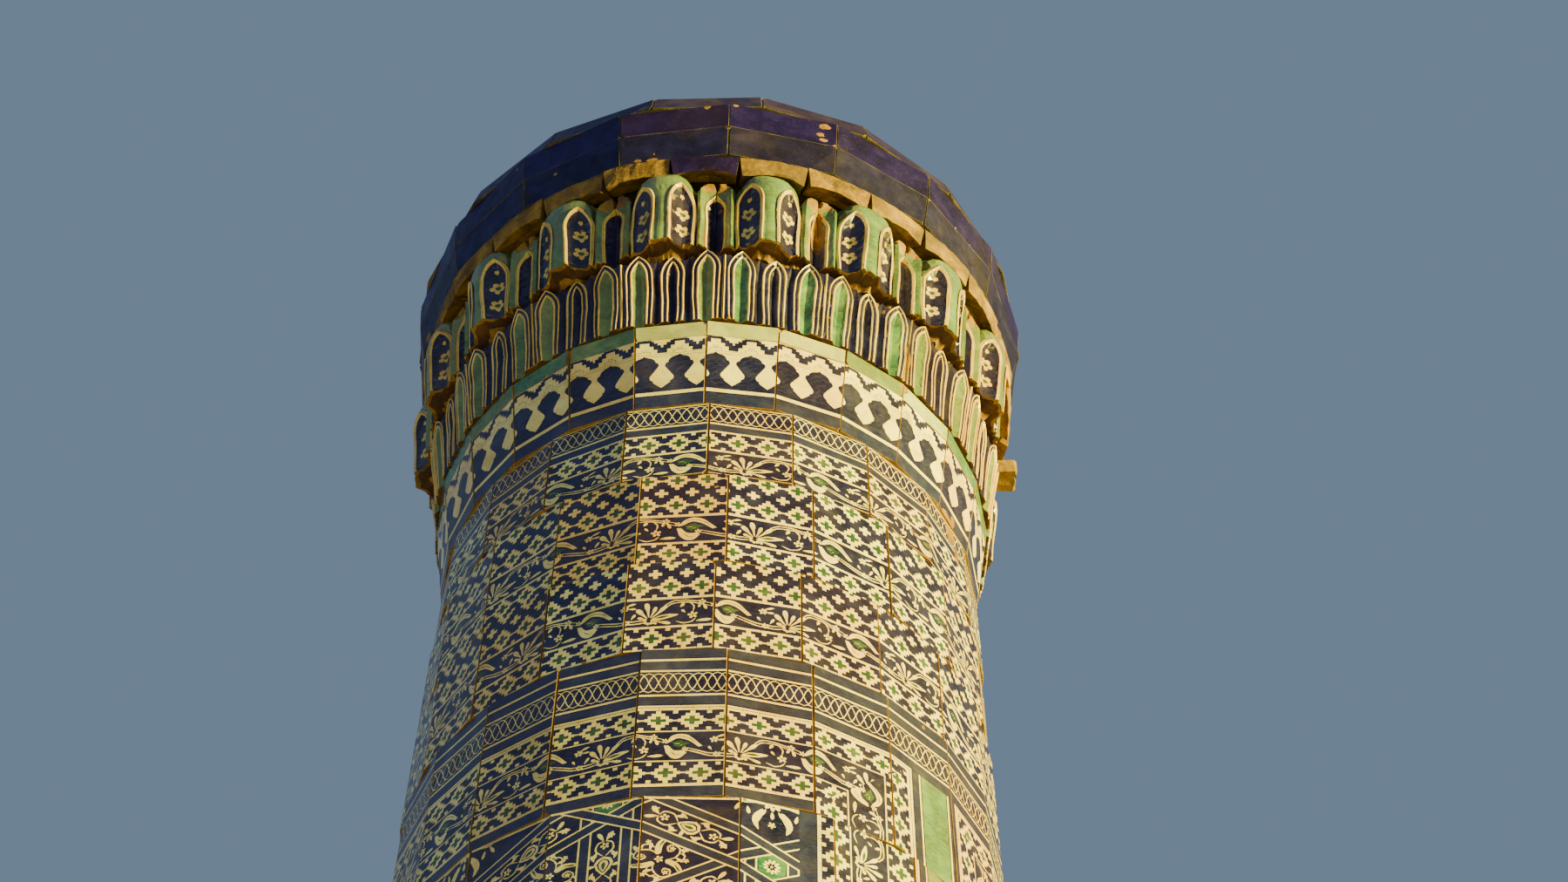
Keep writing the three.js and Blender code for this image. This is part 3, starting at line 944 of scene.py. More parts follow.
def lay_ring(name, sides, azimuth, foot, top, paint, seed, **more):
    """A course of painted tiles on the tapering shaft, as a piece of its own."""
    course = lay_course(sides, azimuth, foot, top, shaft_radius(foot), shaft_radius(top), paint, seed, **more)
    course.build(name, "painted_tile")


def lay_shaft():
    """Every tiled course of the shaft, and the frieze with its fillet."""
    dress(("base_tile_band", "lower_tile_field", "middle_tile_band", "strapwork_panel_storey",
           "upper_tile_band", "diaper_course_1", "diaper_course_2", "diaper_course_3", "lobed_frieze",
           "turquoise_fillet"), "mortar")
    field_foot = PLINTH_HEIGHT + TILE_BAND
    field_top = PANEL_FOOT - TILE_BAND
    for name, foot, seed, paint in (("base_band_tiles", PLINTH_HEIGHT, 11, paint_band),
                                    ("middle_band_tiles", field_top, 12, paint_band_below),
                                    ("upper_band_tiles", PANEL_TOP, 13, paint_band_above)):
        lay_ring(name, BAND_SIDES, BAND_AZIMUTH, foot, foot + TILE_BAND, paint, seed)
    courses = 7
    rise = (field_top - field_foot) / courses
    for course in range(courses):
        foot, top = field_foot + course * rise, field_foot + (course + 1) * rise
        paint = paint_course_2 if course % 2 == 0 else paint_course_1
        lay_ring(f"field_tiles_{course + 1}", BAND_SIDES, 11.4, foot, top, paint, 20 + course)
    lay_ring("course_1_tiles", 22, 0.8, 8.094, 8.493, paint_course_1, 31)
    lay_ring("course_2_tiles", 21, 2.7, 8.493, 8.914, paint_course_2, 32, tones=((20, 0.9),))
    lay_ring("course_3_tiles", 21, -1.5, 8.914, 9.275, paint_course_3, 33,
             blots=((61, 9.232, 0.032, 0.042), (63.4, 9.165, 0.014, 0.045)))
    frieze = lay_course(
        25, -2.6, 9.275, 9.586, 0.882, 0.922, paint_frieze, 34,
        blots=((-31.4, 9.57, 0.007, 0.045), (58.6, 9.284, 0.034, 0.022), (61.4, 9.3, 0.016, 0.03)))
    frieze.build("frieze_tiles", "painted_tile")
    fillet = lay_course(
        25, -2.6, 9.586, 9.65, 0.922, 0.932, unpainted, 35, ground=TURQUOISE, wear=0.25,
        grounds=[(tile, GREEN) for tile in (24, 0, 1, 3, 10, 15)],
        blots=((-31.4, 9.61, 0.012, 0.04), (40.6, 9.635, 0.02, 0.024)))
    fillet.build("fillet_tiles", "turquoise_glaze", palette(green="faded"))


# Upper tier: places across the face run along the ring from the prow's arris
UPPER_SCALE = 0.018
UPPER_AZIMUTH = -11.6
UPPER_FOOT = 9.985
UPPER_HEIGHT = 0.3897
LOST_UNIT = 5
FACE_CENTRE = 0.0672
VALLEY = 0.114
RIB_CENTRE = 0.1275
RECESS_CENTRE = 0.18
# Outlines of the arches: (half width, spring, apex)
FACE_OUTER = (0.0472, 0.205, 0.314)
FACE_INNER = (0.034, 0.205, 0.29)
RECESS_OUTER = (0.04, 0.206, 0.31)
RECESS_INNER = (0.0285, 0.206, 0.287)
# What is painted on them, from below upwards: (centre, half width, spring, apex, paint)
PROW_RINGS = (
    (RECESS_CENTRE, *RECESS_OUTER, CREAM),
    (RECESS_CENTRE, RECESS_OUTER[0] - 0.0046, 0.206, 0.303, CLAY),
    (RECESS_CENTRE, RECESS_OUTER[0] - 0.006, 0.206, 0.301, CREAM),
    (RECESS_CENTRE, *RECESS_INNER, COBALT),
    (FACE_CENTRE, FACE_OUTER[0] + 0.0012, 0.205, FACE_OUTER[2] + 0.003, COBALT),
    (FACE_CENTRE, *FACE_OUTER, CREAM),
    (FACE_CENTRE, FACE_OUTER[0] - 0.0052, 0.205, 0.306, CLAY),
    (FACE_CENTRE, FACE_OUTER[0] - 0.0067, 0.205, 0.3035, CREAM),
    (FACE_CENTRE, *FACE_INNER, COBALT),
)

# Lower tier: places across the face run along the ring from an arris
LOWER_SCALE = 0.0168
LOWER_AZIMUTH = 0.4
LOWER_FOOT = 9.65
LOWER_HEIGHT = 0.3347
LOWER_MIDDLE = 0.1008
LOWER_RECESS = 0.168
SPRING = 0.232
LOST_ARRIS = 40.4
# Flutes: centre, then the half width, apex and paint of each ring from the outside in
FLUTES = (
    (0.1155, ((0.0125, 0.316, COBALT),)),
    (0.058, ((0.0458, 0.329, CREAM), (0.04, 0.322, COBALT),
             (0.0302, 0.31, CREAM), (0.0225, 0.297, TURQUOISE))),
    (0.168, ((0.0405, 0.325, CREAM), (0.0325, 0.316, COBALT),
             (0.0212, 0.304, CREAM), (0.0152, 0.292, COBALT))),
)

# Blocks of both tiers: how far arches narrow at the foot, where backs are, and where painting starts
FOOT_NARROWING = 0.1
BLOCK_BACK = 0.88
BELOW = -0.02


def pointed(half, rise):
    """A pointed arch's radius, and how far beyond its middle the centres lie."""
    ratio = ((rise / half) ** 2 + 1) / 2
    return ratio * half, (ratio - 1) * half


def arch(centre, half, foot, spring, apex, steps=8, straight=5):
    """A pointed arch as a line: up the right side, over the point, down the left side."""
    rise = apex - spring
    radius, beyond = pointed(half, rise)
    right = []
    for i in range(straight):
        y = foot + (spring - foot) * i / straight
        right.append((half * (1 - FOOT_NARROWING * (1 - y / spring) ** 2), y))
    for i in range(steps):
        y = rise * i / steps
        right.append((math.sqrt(radius ** 2 - y * y) - beyond, spring + y))
    left = [(centre - x, y) for x, y in reversed(right)]
    return [(centre + x, y) for x, y in right] + [(centre, apex)] + left


def half_width(half, spring, apex, y):
    """Half the width of a pointed arch at each height."""
    rise = apex - spring
    radius, beyond = pointed(half, rise)
    up = np.clip(y - spring, 0, rise)
    narrowed = half * (1 - FOOT_NARROWING * np.clip(1 - y / spring, 0, 1) ** 2)
    return np.maximum(np.sqrt(np.maximum(radius ** 2 - up * up, 0)) - beyond - half + narrowed, 0)


def between(outer, inner):
    """The arch half-way between two."""
    return [(p + q) / 2 for p, q in zip(outer, inner)]


def distance_to(path, x, y):
    """Each point's distance to a line."""
    best = np.full(len(x), 1e9)
    for (ax, ay), (bx, by) in zip(path, path[1:]):
        dx, dy = bx - ax, by - ay
        t = np.clip(((x - ax) * dx + (y - ay) * dy) / (dx * dx + dy * dy), 0, 1)
        best = np.minimum(best, np.hypot(x - ax - t * dx, y - ay - t * dy))
    return best


def roll(distance, half, height):
    """A round moulding's height at a distance from its middle line."""
    return height * np.sqrt(np.maximum(0, 1 - (distance / half) ** 2))


def rim(centre, half, spring, apex, a, y, wide, height):
    """The height of a round moulding along an arch."""
    return roll(distance_to(arch(centre, half, BELOW, spring, apex), a, y), wide, height)


def folded(centre, half, spring, apex, a, y, depth):
    """How deep a folded field lies at each point, and which points are in it."""
    inner = half_width(half, spring, apex, y)
    fold = np.where(inner > 0.0005, np.maximum(0, 1 - np.abs(a - centre) / np.maximum(inner, 0.0005)), 0)
    return depth * np.minimum(1, inner / half) * fold, fold > 0.001


def eased(value):
    """0 to 1 with soft ends."""
    value = np.clip(value, 0, 1)
    return value * value * (3 - 2 * value)


def upper_radius(a, y):
    """Radius of an upper unit at half-unit places a and heights y."""
    levels = [0.0, 0.157, 0.277, 0.339, 0.39]
    arris = np.interp(y, levels, [1.046, 1.063, 1.074, 1.07, 1.05])
    valley = np.interp(y, levels, [0.992, 1.005, 1.014, 1.017, 1.01])
    rib = np.interp(y, levels, [1.0, 1.012, 1.02, 1.02, 1.01])
    recess = np.interp(y, [0.0, 0.157, 0.277, 0.316, 0.345, 0.39], [0.972, 0.983, 0.99, 1.006, 1.021, 1.016])
    # the arris is broad and round
    share = (np.hypot(a, 0.02) - 0.02) / (math.hypot(VALLEY, 0.02) - 0.02)
    prow = arris + (valley - arris) * np.clip(share, 0, 1)
    beyond = np.where(a < RIB_CENTRE, valley + (rib - valley) * (a - VALLEY) / (RIB_CENTRE - VALLEY),
                      rib + (recess - rib) * (a - RIB_CENTRE) / (RECESS_CENTRE - RIB_CENTRE))
    radius = np.where(a < VALLEY, prow, beyond)
    bulge = 0.011 * eased((y - 0.17) / 0.14) * 4 * np.clip(share, 0, 1) * (1 - np.clip(share, 0, 1))
    radius = radius + np.where(a < VALLEY, bulge, 0)
    for centre, inner, depth in ((FACE_CENTRE, FACE_INNER, 0.0125), (RECESS_CENTRE, RECESS_INNER, 0.014)):
        fold, within = folded(centre, *inner, a, y, depth)
        radius = radius - fold - 0.003 * within
    # raised outlines and ribs
    radius = radius + rim(FACE_CENTRE, *between(FACE_OUTER, FACE_INNER), a, y, 0.0078, 0.0095)
    radius = radius + rim(RECESS_CENTRE, *between(RECESS_OUTER, RECESS_INNER), a, y, 0.0066, 0.0085)
    radius = radius + roll(np.abs(a - RIB_CENTRE), 0.012, 0.011) * eased((0.352 - y) / 0.05)
    # the tops of the ribs and of the head fall back
    top = np.where(a < VALLEY, 0.384 - 0.11 * np.clip(share, 0, 1) ** 3,
                   0.368 - np.where(a > 0.154, 0.026, 0.046) * np.clip((a - 0.154) / 0.03, -1, 1) ** 2)
    return radius - 0.05 * eased((y - top) / 0.026) - 0.01 * eased((y - top + 0.032) / 0.05) ** 2


def lower_radius(a, y):
    """Radius of a lower unit at half-unit places a and heights y."""
    levels = [0.0, 0.18, 0.335]
    arris = np.interp(y, levels, [0.945, 0.969, 0.998])
    middle = np.interp(y, levels, [0.94, 0.959, 0.986])
    recess = np.interp(y, levels, [0.935, 0.949, 0.974])
    place = a / LOWER_MIDDLE
    radius = np.where(place < 1, arris + (middle - arris) * place,
                      middle + (recess - middle) * (a - LOWER_MIDDLE) / (LOWER_RECESS - LOWER_MIDDLE))
    radius = radius + roll(a, 0.004, 0.005)
    for centre, rings in FLUTES:
        half, apex, _ = rings[-1]
        radius = radius - folded(centre, half, SPRING, apex, a, y, 0.42 * half + 0.004)[0]
        for outer, inside in zip(rings[::2], rings[1::2]):
            half, apex = between(outer[:2], inside[:2])
            radius = radius + rim(centre, half, SPRING, apex, a, y, (outer[0] - inside[0]) / 2 * 1.2, 0.0062)
    # the flutes' heads stand clear of the dark field between them
    return radius - 0.022 * eased((y - 0.296) / 0.03) * (1 - eased((head_height(a) + 0.008 - y) / 0.01))


def head_height(a):
    """How high the flutes' outlines reach at half-unit places."""
    a = np.atleast_1d(np.asarray(a, float))
    best = np.full(len(a), 0.296)
    for centre, rings in FLUTES:
        half, apex = rings[0][0] + 0.002, rings[0][1] + 0.001 - 0.004 * (len(rings) < 2)
        radius, beyond = pointed(half, apex - SPRING)
        off = np.minimum(np.abs(a - centre), half)
        best = np.maximum(best, SPRING + np.sqrt(np.maximum(radius ** 2 - (off + beyond) ** 2, 0)))
    return best


def grid_spots(left, right, foot, top, pitch):
    """Extra points, so that a curved face is followed closely."""
    across, up = round((right - left) / pitch), round((top - foot) / pitch)
    return [(left + (right - left) * (i + 0.5) / across + pitch * 0.21 * (j % 2),
             foot + (top - foot) * (j + 0.5) / up) for i in range(across) for j in range(up)]


def placed(angle, radius, height):
    """Points at angles, radii and heights."""
    return np.stack([radius * np.sin(angle), -radius * np.cos(angle), height], -1)


def add_block(piece, tier, centre, left, right, outline, shapes, lines, tone, rng):
    """One moulded block, closed round to its back: painted face, rough clay sides, and an underside painted
    dark as shade.

    Places across run along the ring from azimuth 0. A tier is its foot, metres along the ring for a
    degree, radius at half-unit places and heights, ground, (foot, top, spacing) of extra points, and
    roughness of the bedding clay.
    """
    foot, scale, radius_at, ground, (spots_foot, spots_top, pitch), rough = tier
    lines = [[p for p in line if left + 0.0005 < p[0] < right - 0.0005] for line in lines]
    lines = [line for line in lines if len(line) > 1]
    spots = grid_spots(left, right, spots_foot, spots_top, pitch)
    flat, faces, paints, chains = cut_face(outline, shapes, ground, lines, spots)
    flat = np.array(flat)
    azimuth = flat[:, 0] / scale
    local = (azimuth - centre + 10) % 20 - 10
    radius = radius_at(np.abs(local) * scale, flat[:, 1])
    ends = np.clip(np.minimum(flat[:, 0] - flat[:, 0].min(), flat[:, 0].max() - flat[:, 0]) / 0.02, 0, 1)
    phases = [rng.uniform(0, 6.28) for _ in range(4)]
    sway = (np.sin(flat[:, 1] * 17 + phases[0] + flat[:, 0] * 9)
            + 0.6 * np.sin(flat[:, 1] * 41 + phases[1] + flat[:, 0] * 33))
    dent = np.sin(flat[:, 1] * 23 + phases[2]) * np.sin(flat[:, 0] * 37 + phases[3])
    angle = np.radians(azimuth + 0.0016 * ends * sway / scale)
    radius = radius + 0.0014 * dent
    verts = list(placed(angle, radius, foot + flat[:, 1]))
    loop = [p for chain in chains for p in chain[:-1]]
    lowest = {k for k, p in enumerate(loop) if flat[p, 1] < 0.012}
    rings = [loop]
    # the underside, with a wavy lip of bedding clay above the tier below; behind its front strip and the lip
    # it is painted near-black as shade
    lip = rough > 0.003
    for level, share in enumerate((0.09, 0.27, 0.38, 0.5, 1.0) if lip else (0.055, 0.35, 0.7, 1.0)):
        ring = []
        for k, p in enumerate(loop):
            x = flat[p, 0]
            reach = radius[p] + (BLOCK_BACK - radius[p]) * share
            lift = 0.0
            if k in lowest and share < 1:
                # layered, softly broken clay
                wave = math.sin(x * 70 + share * 19 + phases[0])
                reach += rough * (wave + 0.7 * math.sin(x * 163 + share * 7 + phases[1]))
                lift = rough * (0.9 + 0.8 * math.sin(x * 97 + share * 31 + phases[2]))
                if lip and level in (2, 3):
                    reach += 0.008 * math.sin(x * 58 + phases[3]) + 0.004 * math.sin(x * 131 + phases[1])
                    lift = -0.012 if level == 3 else lift
            ring.append(len(verts))
            verts.append(placed(angle[p], reach, foot + flat[p, 1] + lift))
        rings.append(ring)
    count = len(loop)
    for front, behind in zip(rings, rings[1:]):
        for k in range(count):
            after = (k + 1) % count
            faces.append([front[after], front[k], behind[k], behind[after]])
            # underside faces behind the front strip take the slate slot, which holds near-black clay: painted
            # shade
            dark = k in lowest and after in lowest and front is not loop and not (lip and front is rings[3])
            paints.append(SLATE if dark else CLAY)
    rear = rings[-1]
    flat_loop = [Vector((float(flat[p, 0]), float(flat[p, 1]))) for p in loop]
    out = delaunay_2d_cdt(flat_loop, [], [list(range(count))], 1, 1e-7, True)
    names = [source[0] for source in out[3]]
    faces += [[rear[names[c]], rear[names[b]], rear[names[a]]] for a, b, c in out[2]]
    paints += [CLAY] * len(out[2])
    piece.add(verts, faces, paints, tone)


UPPER_TIER = (UPPER_FOOT, UPPER_SCALE, upper_radius, TURQUOISE, (0.01, UPPER_HEIGHT, 0.019), 0.0035)
LOWER_TIER = (LOWER_FOOT, LOWER_SCALE, lower_radius, COBALT, (0.006, LOWER_HEIGHT, 0.028), 0.0016)


def shifted(points, across, flip=False):
    """Half-unit places moved to their unit, on either side of its arris."""
    return [(across - x if flip else across + x, y) for x, y in points]


def upright(x, foot, rise, steps):
    """A line straight up a face."""
    return [(x, foot + rise * i / steps) for i in range(steps + 1)]


def ragged(start, end, y, rng, step, swing):
    """A broken horizontal edge."""
    count = max(2, round(abs(end - start) / step))
    return [(start + (end - start) * i / count, y + (rng.uniform(-swing, swing) if 0 < i < count else 0))
            for i in range(count + 1)]


def flower(x, y, radius, turn, rng):
    """The round petals of a flower, a little taller than wide."""
    petals = []
    for k in range(5):
        angle, size = turn + k * 2 * math.pi / 5, radius * rng.uniform(0.36, 0.42)
        away = radius * 0.62
        petals.append([(x + away * math.cos(angle) + size * math.cos(a),
                        y + 1.3 * (away * math.sin(angle) + size * math.sin(a)))
                       for a in (0.4, 1.45, 2.5, 3.55, 4.6, 5.65)])
    return petals


def upper_block(piece, azimuth, seed, bare_side):
    """One glazed prow: two folded arches with flowers, a rib on each side, and half a recess beyond each rib.

    The recess on bare_side, -1 or 1, has lost its glaze; 0 is for neither.
    """
    rng = random.Random(seed)
    middle = azimuth * UPPER_SCALE
    half = 10 * UPPER_SCALE - 0.0008
    left, right = middle - half, middle + half
    outline = ragged(left, right, 0.003, rng, 0.009, 0.0032) + [(right, UPPER_HEIGHT), (left, UPPER_HEIGHT)]
    shapes, lines = [], []
    for flip in (False, True):

        def paint(colour, points):
            shapes.append((colour, turned_left(shifted(points, middle, flip))))

        worn = rng.uniform(0.296, 0.314)
        near, far = VALLEY + 0.002, RECESS_CENTRE + 0.01
        paint(CLAY, [(near, worn - rng.uniform(0.0, 0.02)),
                     (RIB_CENTRE, worn + rng.uniform(-0.012, 0.006)),
                     (RIB_CENTRE + 0.02, worn + rng.uniform(-0.012, 0.004)),
                     (far, worn + 0.012), (far, 0.45), (near, 0.45)])
        paint(COBALT, box(VALLEY - 0.0012, BELOW, VALLEY + 0.0028, 0.345))
        for centre, wide, spring, apex, colour in PROW_RINGS:
            paint(colour, arch(centre, wide, BELOW, spring, apex))
        for y, size in ((0.078, 0.024), (0.172, 0.024), (0.246, 0.008)):
            turn = rng.uniform(-0.16, 0.16) - math.pi / 2
            x = FACE_CENTRE + rng.uniform(-0.002, 0.002)
            y += rng.uniform(-0.006, 0.006)
            for points in flower(x, y, size, turn, rng):
                paint(CREAM, points)
            paint(CREAM, disc(x, y, size * 0.6, 8, turn))
            if size > 0.02:
                paint(GREEN, disc(x, y, size * 0.42, 7, turn))
        for centre, outer, inner in ((FACE_CENTRE, FACE_OUTER, FACE_INNER),
                                     (RECESS_CENTRE, RECESS_OUTER, RECESS_INNER)):
            wide, spring, apex = between(outer, inner)
            lines.append(shifted(arch(centre, wide, 0.0035, spring, apex), middle, flip))
        lines.append(shifted(upright(FACE_CENTRE, 0.006, 0.29, 9), middle, flip))
        for place in (0.008, 0.016, RIB_CENTRE, RIB_CENTRE - 0.009, RIB_CENTRE + 0.009, VALLEY):
            lines.append(shifted(upright(place, 0.006, 0.33, 8), middle, flip))
    lines.append(upright(middle, 0.006, 0.375, 10))
    for _ in range(rng.choice((1, 2, 3, 4))):
        x = middle + rng.uniform(-half, half)
        y = rng.choice((rng.uniform(0, 0.02), rng.uniform(0.2, 0.37)))
        size = rng.uniform(0.004, 0.012)
        shapes.append((CLAY, blot(x, y, size, size, rng)))
    if bare_side:
        edge = middle + bare_side * RECESS_CENTRE
        shapes.append((CLAY, turned_left([(edge + bare_side * x, y) for x, y in (
            (0.02, 0.09), (-0.016, 0.12), (-0.022, 0.19), (-0.015, 0.26), (-0.021, 0.31), (0.02, 0.33))])))
    add_block(piece, UPPER_TIER, azimuth, left, right, outline, shapes, lines, rng.uniform(-0.6, 0.7), rng)


def lower_block(piece, azimuth, seed):
    """One block of the lower tier, from an arris to the next but one, with its pointed flutes."""
    rng = random.Random(seed)
    scale = LOWER_SCALE
    left, right = azimuth * scale + 0.0012, (azimuth + 40) * scale - 0.0012
    outline = ragged(left, right, 0.0015, rng, 0.02, 0.0012)
    # the top follows the flutes' heads
    count = 190
    for i in range(count + 1):
        x = right + (left - right) * i / count
        place = abs((x / scale - azimuth + 10) % 20 - 10) * scale
        outline.append((x, min(LOWER_HEIGHT, float(head_height(place)[0]) + 0.0052)))
    shapes, lines = [], []
    for unit in range(3):
        middle = (azimuth + 20 * unit) * scale
        for flip in (False, True):
            for centre, rings in FLUTES:
                near = middle + (-centre if flip else centre)
                if (flip and centre > 0.16) or near < left - 0.05 or near > right + 0.05:
                    continue
                for wide, apex, colour in rings:
                    flute = arch(centre, wide, BELOW, SPRING, apex, 6, 4)
                    shapes.append((colour, turned_left(shifted(flute, middle, flip))))
                for outer, inside in zip(rings[::2], rings[1::2]):
                    wide, apex = between(outer[:2], inside[:2])
                    lines.append(shifted(arch(centre, wide, 0.004, SPRING, apex, 6, 4), middle, flip))
                lines.append(shifted(upright(centre, 0.004, rings[-1][1] - 0.008, 6), middle, flip))
        shapes.append((CREAM, box(middle - 0.004, BELOW, middle + 0.004, 0.318)))
        lines.append(upright(middle, 0.006, 0.31, 6))
    if azimuth < LOST_ARRIS + 1:
        # the glaze of one arris has gone, low down
        x = LOST_ARRIS * scale
        shapes.append((CLAY, [(x - 0.013, -0.01), (x + 0.012, -0.01), (x + 0.01, 0.07), (x + 0.014, 0.12),
                              (x + 0.004, 0.16), (x - 0.003, 0.19), (x - 0.012, 0.14), (x - 0.009, 0.06)]))
    for _ in range(rng.choice((1, 2, 3))):
        x = rng.uniform(left, right)
        y = rng.choice((rng.uniform(0, 0.03), rng.uniform(0.22, 0.32)))
        size = rng.uniform(0.004, 0.01)
        shapes.append((CLAY, blot(x, y, size, 2 * size, rng)))
    add_block(piece, LOWER_TIER, azimuth, left, right, outline, shapes, lines, rng.uniform(-0.6, 0.4), rng)


def lay_cornice():
    """Both tiers of the cornice."""
    # the slate slot holds the near-black clay painted as shade under the blocks; the cream slot holds the
    # cream with painted golden sunlight
    paints = palette(cream="sunlit_cream", slate="soffit")
    piece = Piece()
    for block in range(9):
        lower_block(piece, LOWER_AZIMUTH + 40 * block, 400 + block)
    piece.build("lower_muqarnas_tiles", "muqarnas_glaze", paints,
                [f"lower_muqarnas_{block + 1:02d}" for block in range(9)])
    piece = Piece()
    units = [unit for unit in range(18) if unit != LOST_UNIT]
    for unit in units:
        upper_block(piece, UPPER_AZIMUTH + 20 * unit, 500 + unit, {1: 1, 2: -1}.get(unit, 0))
    piece.build("upper_muqarnas_tiles", "muqarnas_glaze", paints,
                [f"upper_muqarnas_{unit + 1:02d}" for unit in units])


# Places on the crown that have lost their glaze: (azimuth, height, half width, half height)
CROWN_BLOTS = (
    (-15.5, 10.745, 0.024, 0.01), (-17.5, 10.728, 0.02, 0.008), (-3.8, 10.712, 0.011, 0.012),
    (1.4, 10.716, 0.01, 0.012), (17.8, 10.69, 0.022, 0.016), (17.2, 10.64, 0.014, 0.011),
    (17.9, 10.612, 0.018, 0.009), (-13.8, 10.458, 0.022, 0.01), (-16.5, 10.462, 0.014, 0.008),
    (-33.2, 10.55, 0.007, 0.006), (96, 10.52, 0.024, 0.014), (140, 10.7, 0.02, 0.014),
    (215, 10.6, 0.028, 0.012), (283, 10.47, 0.024, 0.014))


def lay_crown():
    """The crown's cobalt tiles and the low dome."""
    paints = palette(cobalt="violet", green="old_mortar", turquoise="weathered", slate="navy")
    radii = (1.066, 1.092, 1.103, 1.08)
    heights = (10.449, 10.587, 10.717, 10.817)
    sides = 18
    piece = Piece()
    # the top course's ground, in the turquoise slot, is the greyer violet whose grey is a painted sheen of
    # the sky
    for i, (azimuth, ground) in enumerate(((0.3, SLATE), (0.3, COBALT), (6.2, TURQUOISE))):
        lay_course(sides, azimuth, *heights[i:i + 2], *radii[i:i + 2], unpainted, 41 + i, piece,
                   ground, chips=0.35, edge=GREEN, blots=CROWN_BLOTS)
    piece.build("crown_tiles", "cobalt_tile", paints)
    span = radii[3] * math.cos(math.pi / sides)
    rise = 0.44
    sphere = (span ** 2 + rise ** 2) / (2 * rise)
    angle = math.asin(span / sphere)
    piece = Piece()
    for i in range(8, 1, -1):
        a, b = angle * i / 8, angle * (i - 1) / 8
        levels = [heights[3] + rise - sphere * (1 - math.cos(t)) for t in (a, b)]
        reaches = [sphere * math.sin(t) for t in (a, b)]
        lay_course(36 if i > 3 else sides, 0, *levels, *reaches, unpainted, 50 + i, piece,
                   chips=0.2, wear=0.25, edge=GREEN)
    # the round tile at the very top
    verts = []
    crest = heights[3] + rise + 0.0035
    for reach, drop in ((0.99, 0.011), (0.97, 0.0035), (0.6, 0.001), (0.25, 0.0)):
        radius = sphere * math.sin(angle / 8) * reach
        level = crest - sphere * (1 - math.cos(angle / 8 * reach)) - drop
        verts += [polar(20 * k, radius, level) for k in range(sides)]
    verts.append((0, 0, crest))
    faces = [[start + k, start + (k + 1) % sides, start + sides + (k + 1) % sides, start + sides + k]
             for start in (0, sides, 2 * sides) for k in range(sides)]
    faces += [[3 * sides + k, 3 * sides + (k + 1) % sides, 4 * sides] for k in range(sides)]
    faces.append(list(reversed(range(sides))))
    piece.add(verts, faces, [COBALT] * len(faces), 0.1)
    piece.build("dome_tiles", "cobalt_tile", paints)
    dress(("crown_course_1", "crown_course_2", "crown_course_3", "low_dome"), "old_mortar")
    # the cornice core, seen between the blocks, is painted dark as shade; the plinth's core shows only in the
    # joints of its bricks
    dress(("cornice_core", "brick_plinth"), "soffit")


# Strapwork storey: two panels, each half the way round, between upright borders
PANEL_SIDES = 22
PANEL_AZIMUTH = 6.4
PANEL_ROWS = 6
BORDER_AZIMUTH = 46.0
BORDER_WIDTH = 0.457
COLUMN_DEGREES = 27.95
STRAP_OFFSET = 0.0575
STRAP = ((0.0355, CREAM), (0.0255, SLATE))


def leaf(x, y, length, width, degrees):
    """A pale petal, in millimetres."""
    return (CREAM, petal(x / 1000, y / 1000, length / 1000, width / 1000, degrees))


def stem(width, *numbers):
    """A pale stroke of a width in metres, through points in millimetres."""
    return (CREAM, stroke(pairs(numbers, 1000), width))


def lobe(*numbers):
    """A pale closed curve, through points in millimetres."""
    return (CREAM, smooth_path(pairs(numbers, 1000), closed=True))


def star_motif():
    """The flower in the small hexagon where the straps cross."""
    turns = [math.radians(a) for a in range(30, 390, 60)]
    hexagon = [(0.044 * math.cos(turn), 0.044 * math.sin(turn)) for turn in turns]
    return [(TURQUOISE, hexagon), (CREAM, rosette(0.025, 11, 0.1)), (COBALT, rosette(0.0135, 7)),
            (CREAM, disc(0, 0, 0.004))]


def strip_motif():
    """A spray between two parallel straps, lying along x."""
    motif = [(CREAM, petal(-0.034, 0.0, 0.068, 0.052, 0)), (COBALT, petal(-0.026, 0.0, 0.052, 0.036, 0)),
             (CREAM, petal(-0.022, 0.0, 0.044, 0.026, 0)), (GREEN, petal(-0.016, 0.0, 0.03, 0.012, 0))]
    for side in (-1, 1):
        for turn in (-1, 1):
            motif += [stem(0.0048, 36 * side, 4 * turn, 58 * side, 24 * turn,
                           84 * side, 20 * turn, 92 * side, 2 * turn),
                      leaf(52 * side, 20 * turn, 26, 12, 90 * turn + 62 * side * turn),
                      leaf(94 * side, 4 * turn, 36, 13, 28 * turn if side > 0 else 180 - 28 * turn),
                      leaf(20 * side, 27 * turn, 26, 10, 90 - 90 * side + 22 * side * turn)]
        motif += [(CREAM, floret(0.074 * side, 0.0, 0.0125, 0.4 * side)),
                  (COBALT, disc(0.074 * side, 0.0, 0.0042, 5)),
                  (CREAM, floret(0.112 * side, -0.016 * side, 0.0105, 0.9))]
    return motif


def triangle_motif():
    """Arabesque leaves in the triangle between three straps; one corner points along x."""
    # a leaf that sweeps round the corner, and its scroll
    corner = [lobe(12, 18, 36, 34, 66, 32, 96, 8, 72, 18, 44, 18, 22, 8),
              stem(0.0044, 4, -18, 26, -34, 56, -30, 66, -8, 50, 4, 36, -6, 42, -16),
              leaf(64, -18, 30, 11, -28), leaf(56, -28, 26, 10, -64), leaf(26, -34, 26, 10, -100),
              leaf(90, 0, 36, 11, 4), (CREAM, floret(0.05, -0.01, 0.0085, 0.3)),
              stem(0.0042, 30, 32, 34, 50, 22, 64, 8, 58), (CREAM, floret(0.04, 0.058, 0.008, 0.8)),
              leaf(18, 62, 24, 9, 150), (GREEN, petal(0.036, 0.026, 0.034, 0.006, -4))]
    motif = [(paint, around(points, 0, 0, math.radians(120 * k)))
             for k in range(3) for paint, points in corner]
    return motif + [(CREAM, floret(0, 0, 0.0115)), (TURQUOISE, disc(0, 0, 0.004))]


